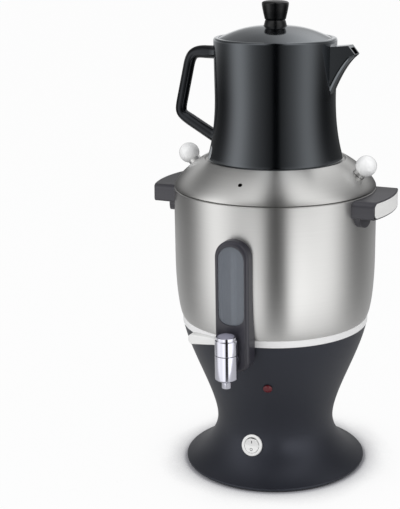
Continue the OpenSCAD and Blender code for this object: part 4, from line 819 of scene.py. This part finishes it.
tip_x, tip_r, tip_z = 35, 5, 173.6
lever = slab("tap_lever_piece", [(-2, -4.4, 170.2), (-2, -4.4, 177.0), (-11.6, -4.4, 177.0), (-24, -4.7, 177.9),
                                 (-34, -4.9, 178.55)]
             + [(-tip_x - tip_r * math.sin(a), -4.9, tip_z + tip_r * math.cos(a))
                for a in [math.pi * (0.5 + i) / 14 for i in range(14)]]
             + [(-34, -4.9, 168.65), (-24, -4.7, 169.3), (-13.1, -4.4, 170.2)], (0, 9.8, 0))
# it widens towards its end and is rounded across there
for vertex in lever.data.vertices:
    share = min(1, max(0, (-vertex.co.x / mm - 10) / 25))
    reach = 3.6 + 1.2 * share
    across = max(0, (-vertex.co.x / mm - tip_x) / tip_r)
    reach = reach * math.sqrt(max(0.0, 1 - 0.55 * across * across))
    vertex.co.y = math.copysign(reach, vertex.co.y) * mm
round_edges(lever, 1.1, 40, 4)
hub = turned("lever_hub", [(3.05, 163.8), (8.5, 163.8), (8.5, 177.1), (3.05, 177.1), (3.05, 163.8)], steps=64)
work(lever, hub, "UNION")
work(lever, rod("stem_hole", 3.05, 150, 190, 48))
place(lever, tap_at)
smooth(lever)
lever_white = moulded("white_lever_plastic", (0.88, 0.88, 0.875), 0.25, uneven=0.02, grain=0.03, grain_size=0.3)
fit(lever, "tap_handle", lever_white, ["tap_lever"])

cap_ball_r, cap_ball_z, cap_spread = 15, 167.2, 0.6
cap = turned("tap_cap_piece", [(0, 177.2), (8.3, 177.2), (8.5, 177.4), (8.5, 179.2)]
             + [(cap_ball_r * math.sin(a), cap_ball_z + cap_ball_r * math.cos(a))
                for a in [cap_spread * (10 - i) / 10 for i in range(11)]], steps=72)
place(cap, tap_at)
cap_grey = moulded("tap_cap_plastic", (0.26, 0.256, 0.325), 0.34, grain=0.06, grain_size=0.3)
fit(cap, "tap_handle", cap_grey, ["tap_cap"])

# ------------------------------------------------------------------ lid of the tank
# A brushed steel dome drops into the tank's rim. It has a steam hole in front, and a pressed
# seat in the middle, open to the steam, on which the teapot stands.
lid_r, lid_z, lip_z, seat_z = 105.3, 306.1, 335.7, 333.2
knob_x, knob_z, steam_y = 91.5, 323.95, 92
dome = curve((lid_r, lid_z + 0.9), (104.6, 313.2), (88.0, 328.9), (74.6, lip_z - 0.05), 44)
dome_under = [p for p in wall_inside(dome, 1) if p[1] > lid_z + 1.4 and p[0] > 73.6]
lid = turned("tank_lid_piece", [(101.7, 298.1), (101.7, lid_z), (102.6, lid_z), (105.0, lid_z + 0.65)] + dome
             + [(74.2, lip_z), (73.8, lip_z - 0.1), (73.4, lip_z - 0.5), (72.6, seat_z + 0.3), (72.2, seat_z),
                (30.3, seat_z), (30, seat_z - 0.3), (30, seat_z - 1), (73.0, seat_z - 1)]
             + dome_under[::-1]
             + [(103.8, 307.1), (100.7, 307.1), (100.7, 298.1), (101.7, 298.1)], steps=192)
dome_lean = math.radians(40.8)
work(lid, place(rod("steam_hole", 2.2, -6, 6, 32), (0, -steam_y, knob_z), (dome_lean, 0, 0)))
for side in (-1, 1):
    work(lid, place(rod("stud_hole", 2.3, -4, 8, 32), (side * knob_x, 0, knob_z), (0, side * dome_lean, 0)))
smooth(lid)
lid_steel = brushed("brushed_lid_steel", (0.64, 0.637, 0.625), 0.36)
fit(lid, "lid", lid_steel, ["tank_lid"])

# ------------------------------------------------------------------ ball knobs
# Two glossy white balls are screwed to studs through the lid, with a short metal collar below.
ball_white = moulded("white_ball_plastic", (0.96, 0.965, 0.97), 0.16, uneven=0.015)
ball_shader = ball_white.node_tree.nodes["Principled BSDF"]
ball_shader.inputs["Coat Weight"].default_value = 0.5
# the balls glow faintly: painted light that makes them look brighter
ball_shader.inputs["Emission Color"].default_value = (1, 1, 1, 1)
ball_shader.inputs["Emission Strength"].default_value = 0.08
collar_steel = moulded("satin_collar_steel", (0.82, 0.82, 0.81), 0.42, uneven=0.03, metal=1.0)
dress(["knob_studs"], collar_steel)
ball_r, ball_z, ball_flat_r, ball_low, bore_r, bore_top = 10.8, 11.99, 6.8, 3.7, 2.05, 14.4
for side, label in ((-1, "left"), (1, "right")):
    low = math.asin(ball_flat_r / ball_r)
    ball = turned(label + "_ball", [(bore_r, ball_low), (6.5, ball_low)]
                  + [(ball_r * math.sin(a), ball_z - ball_r * math.cos(a))
                     for a in [low + (math.pi - low) * i / 40 for i in range(41)]]
                  + [(0, bore_top), (bore_r, bore_top), (bore_r, ball_low)], steps=72)
    place(ball, rotation=(0, side * dome_lean, 0))
    place(ball, (side * knob_x, 0, knob_z))
    fit(ball, "lid", ball_white, [label + "_ball_knob"])

# ------------------------------------------------------------------ teapot
# The pot is one glossy black piece with a ring foot, a waist, a thick rim, a bar handle and a
# beak spout whose channel opens behind a strainer of small holes.
pot_z, rim_top = 333.5, 458.7
pot_black = moulded("gloss_black", (0.0014, 0.0016, 0.0021), 0.14, uneven=0.05)
pot_tree = pot_black.node_tree
pot_shader = pot_tree.nodes["Principled BSDF"]
pot_shader.inputs["IOR"].default_value = 1.75
pot_shader.inputs["Coat Roughness"].default_value = 0.06
pot_shader.inputs["Coat Tint"].default_value = (0.90, 0.95, 1.0, 1)
# the bar handle's reflections are dimmed, as painted shade for the darker surroundings it reflects: no coat and
# a greyer specular tint there
pot_where = pot_tree.nodes.new("ShaderNodeTexCoord")
pot_side_on = pot_tree.nodes.new("ShaderNodeSeparateXYZ")
pot_handle_shade_mask = pot_tree.nodes.new("ShaderNodeMapRange")
pot_handle_shade_mask.inputs["From Min"].default_value = -0.072
pot_handle_shade_mask.inputs["From Max"].default_value = -0.062
pot_handle_shade_mask.inputs["To Min"].default_value = 0.0
pot_tree.links.new(pot_where.outputs["Object"], pot_side_on.inputs[0])
pot_tree.links.new(pot_side_on.outputs["X"], pot_handle_shade_mask.inputs["Value"])
pot_tree.links.new(pot_handle_shade_mask.outputs[0], pot_shader.inputs["Coat Weight"])
# a greyer specular tint on the bar handle, painted shade
pot_painted_shade_tint = pot_tree.nodes.new("ShaderNodeMix")
pot_painted_shade_tint.data_type = "RGBA"
pot_painted_shade_tint.inputs[6].default_value = (0.36, 0.38, 0.42, 1)
pot_painted_shade_tint.inputs[7].default_value = (0.88, 0.94, 1.0, 1)
pot_tree.links.new(pot_handle_shade_mask.outputs[0], pot_painted_shade_tint.inputs["Factor"])
pot_tree.links.new(pot_painted_shade_tint.outputs[2], pot_shader.inputs["Specular Tint"])
pot_side = curve((70.5, 335.0), (67.2, 346.7), (62.2, 366.5), (62.2, 399.5), 48)
pot_lining = [p for p in wall_inside(pot_side, 4) if p[1] > 342]
pot = turned("teapot_piece", [(0, 335), (64.0, 335), (64.4, 334.6), (64.6, 333.8), (65.0, pot_z), (67.0, pot_z),
                              (68.3, 333.75), (69.3, 334.4), (70.0, 335.3), (70.35, 336.4)]
             + [p for p in pot_side if p[1] > 337.4]
             + [(62.5, 420), (62.8, 440), (63, 455.6), (62.95, 456.6), (62.65, 457.6), (62.1, 458.3),
                (61.3, rim_top), (58.3, rim_top), (57.85, 458.5), (57.6, 458.1), (57.6, 454.7), (52.1, 454.7),
                (51.8, 454.4), (51.8, 450.7), (58.6, 442.7)]
             + pot_lining[::-1]
             + [(pot_lining[0][0] - 1.5, 340.6), (pot_lining[0][0] - 4, 340), (0, 340)], steps=192)

spout_keel = curve((61.0, 401.7), (67.2, 416.7), (75.5, 433.7), (86.3, 443.1), 14)


def beak(name, side_view, half):
    """A spout's solid, or its channel: the side view made half wide each way, narrower at the tip."""
    piece = slab(name, [(x, -half, z) for x, z in side_view], (0, 2 * half, 0))
    for vertex in piece.data.vertices:
        narrow = 2.6 * min(1, max(0, (vertex.co.x / mm - 58.2) / 36.3))
        vertex.co.y -= math.copysign(narrow * mm, vertex.co.y)
    return piece


spout = beak("spout", [(58.4, 451.7), (80.5, 453.7), (87.5, 445.2)] + spout_keel[::-1] + [(58.4, 401.7)], 9.5)
round_these(spout, 4.2, 6, lambda a, b: abs(a.y - b.y) < 1.5 and abs(abs(a.y) - 8) < 1.6
            and a.x > 59 and b.x > 59 and a.z < 443.5 and b.z < 443.5)
round_these(spout, 1.2, 3, lambda a, b: abs(a.y - b.y) < 1.5 and a.z > 451 and b.z > 451
            and (a.x > 59 or b.x > 59))
work(pot, spout, "UNION")
spout_bore = [(x - 1.9, z + 1.9) for x, z in spout_keel if x > 64]
channel = beak("channel", [(63.3, 449.1), (80.2, 451.1), (96, 453.2), (96, 447.4)] + spout_bore[::-1]
               + [(63.3, spout_bore[0][1] + 1.5)], 6.9)
work(pot, channel)
for row in range(3):
    for step in (-1, 0, 1):
        work(pot, place(rod("strainer_hole", 1.4, 0, 10, 16), (56, step * 4, 442.7 - 5 * row), level))

# the bar goes out level, down along a slant and back in, a little thicker where it meets the pot
bar_r, bar_z = 5.9, 441.0
handle_line = ([(-60.2, 0, bar_z)]
               + curve((-79.5, 0, bar_z), (-91.0, 0, bar_z), (-95.0, 0, 438.8), (-97.9, 0, 426.0), 12)
               + curve((-106.3, 0, 389.4), (-109.4, 0, 376.3), (-108.5, 0, 375.1), (-97.3, 0, 368.9), 10)
               + [(-62.7, 0, 349.5)])
bpy.ops.object.select_all(action="DESELECT")
bpy.ops.curve.primitive_bezier_curve_add()
bar = bpy.context.object
bar.name = "pot_bar"
bar.data.splines.clear()
line = bar.data.splines.new("POLY")
line.points.add(len(handle_line) - 1)
for i, (point, (x, y, z)) in enumerate(zip(line.points, handle_line)):
    point.co = (x * mm, y * mm, z * mm, 1)
    point.radius = 1.0 + 0.16 * max(0, 1 - i / 6) + 0.1 * max(0, 1 - (len(handle_line) - 1 - i) / 4)
bar.data.dimensions = "3D"
bar.data.bevel_depth = bar_r * mm
bar.data.bevel_resolution = 8
bar.data.use_fill_caps = True
bpy.ops.object.convert(target="MESH")
bar = bpy.context.object
work(pot, bar, "UNION")
smooth(pot, 35)
fit(pot, "pot", pot_black, ["teapot"])

# ------------------------------------------------------------------ lid of the teapot
# A shallow black dome sits inside the rim and is centred by a ring below.
pot_lid = turned("teapot_lid_piece", [
    (48.4, 448), (50.7, 448), (51, 448.3), (51, 455), (56.7, 455), (57.1, 455.15), (57.3, 455.6), (57.3, 457.9),
    (57.2, 458.3)]
                 + [p for p in curve((57.0, 458.45), (37.3, 467.5), (26, 470.6), (0, 470.6), 40) if p[0] > 12.5]
                 + [(12.3, 470.2), (12.3, 469.0), (2.2, 469.0), (2.2, 466.6), (20, 466.6), (48.4, 458),
                    (48.4, 448)], steps=160)
fit(pot_lid, "pot_lid", pot_black, ["teapot_lid"])
knob = turned("lid_knob_piece", [
    (1.75, 469), (11.8, 469), (12.0, 469.3), (11.8, 470.4), (11.2, 473.0), (10.6, 475.2), (10.2, 475.6),
    (9.95, 476.0), (10.1, 476.4), (10.5, 476.8)]
             + curve((10.9, 477.4), (11.9, 482), (12.8, 485), (13.75, 491.2), 14)
             + curve((13.8, 492.6), (13.6, 494.3), (11.4, 495.5), (0, 495.6), 16)
             + [(0, 481), (1.75, 481), (1.75, 469)], steps=96)
knob_black = moulded("knob_black", (0.0014, 0.0016, 0.0021), 0.24, uneven=0.05)
knob_black.node_tree.nodes["Principled BSDF"].inputs["IOR"].default_value = 1.42
fit(knob, "pot_lid", knob_black, ["lid_knob"])
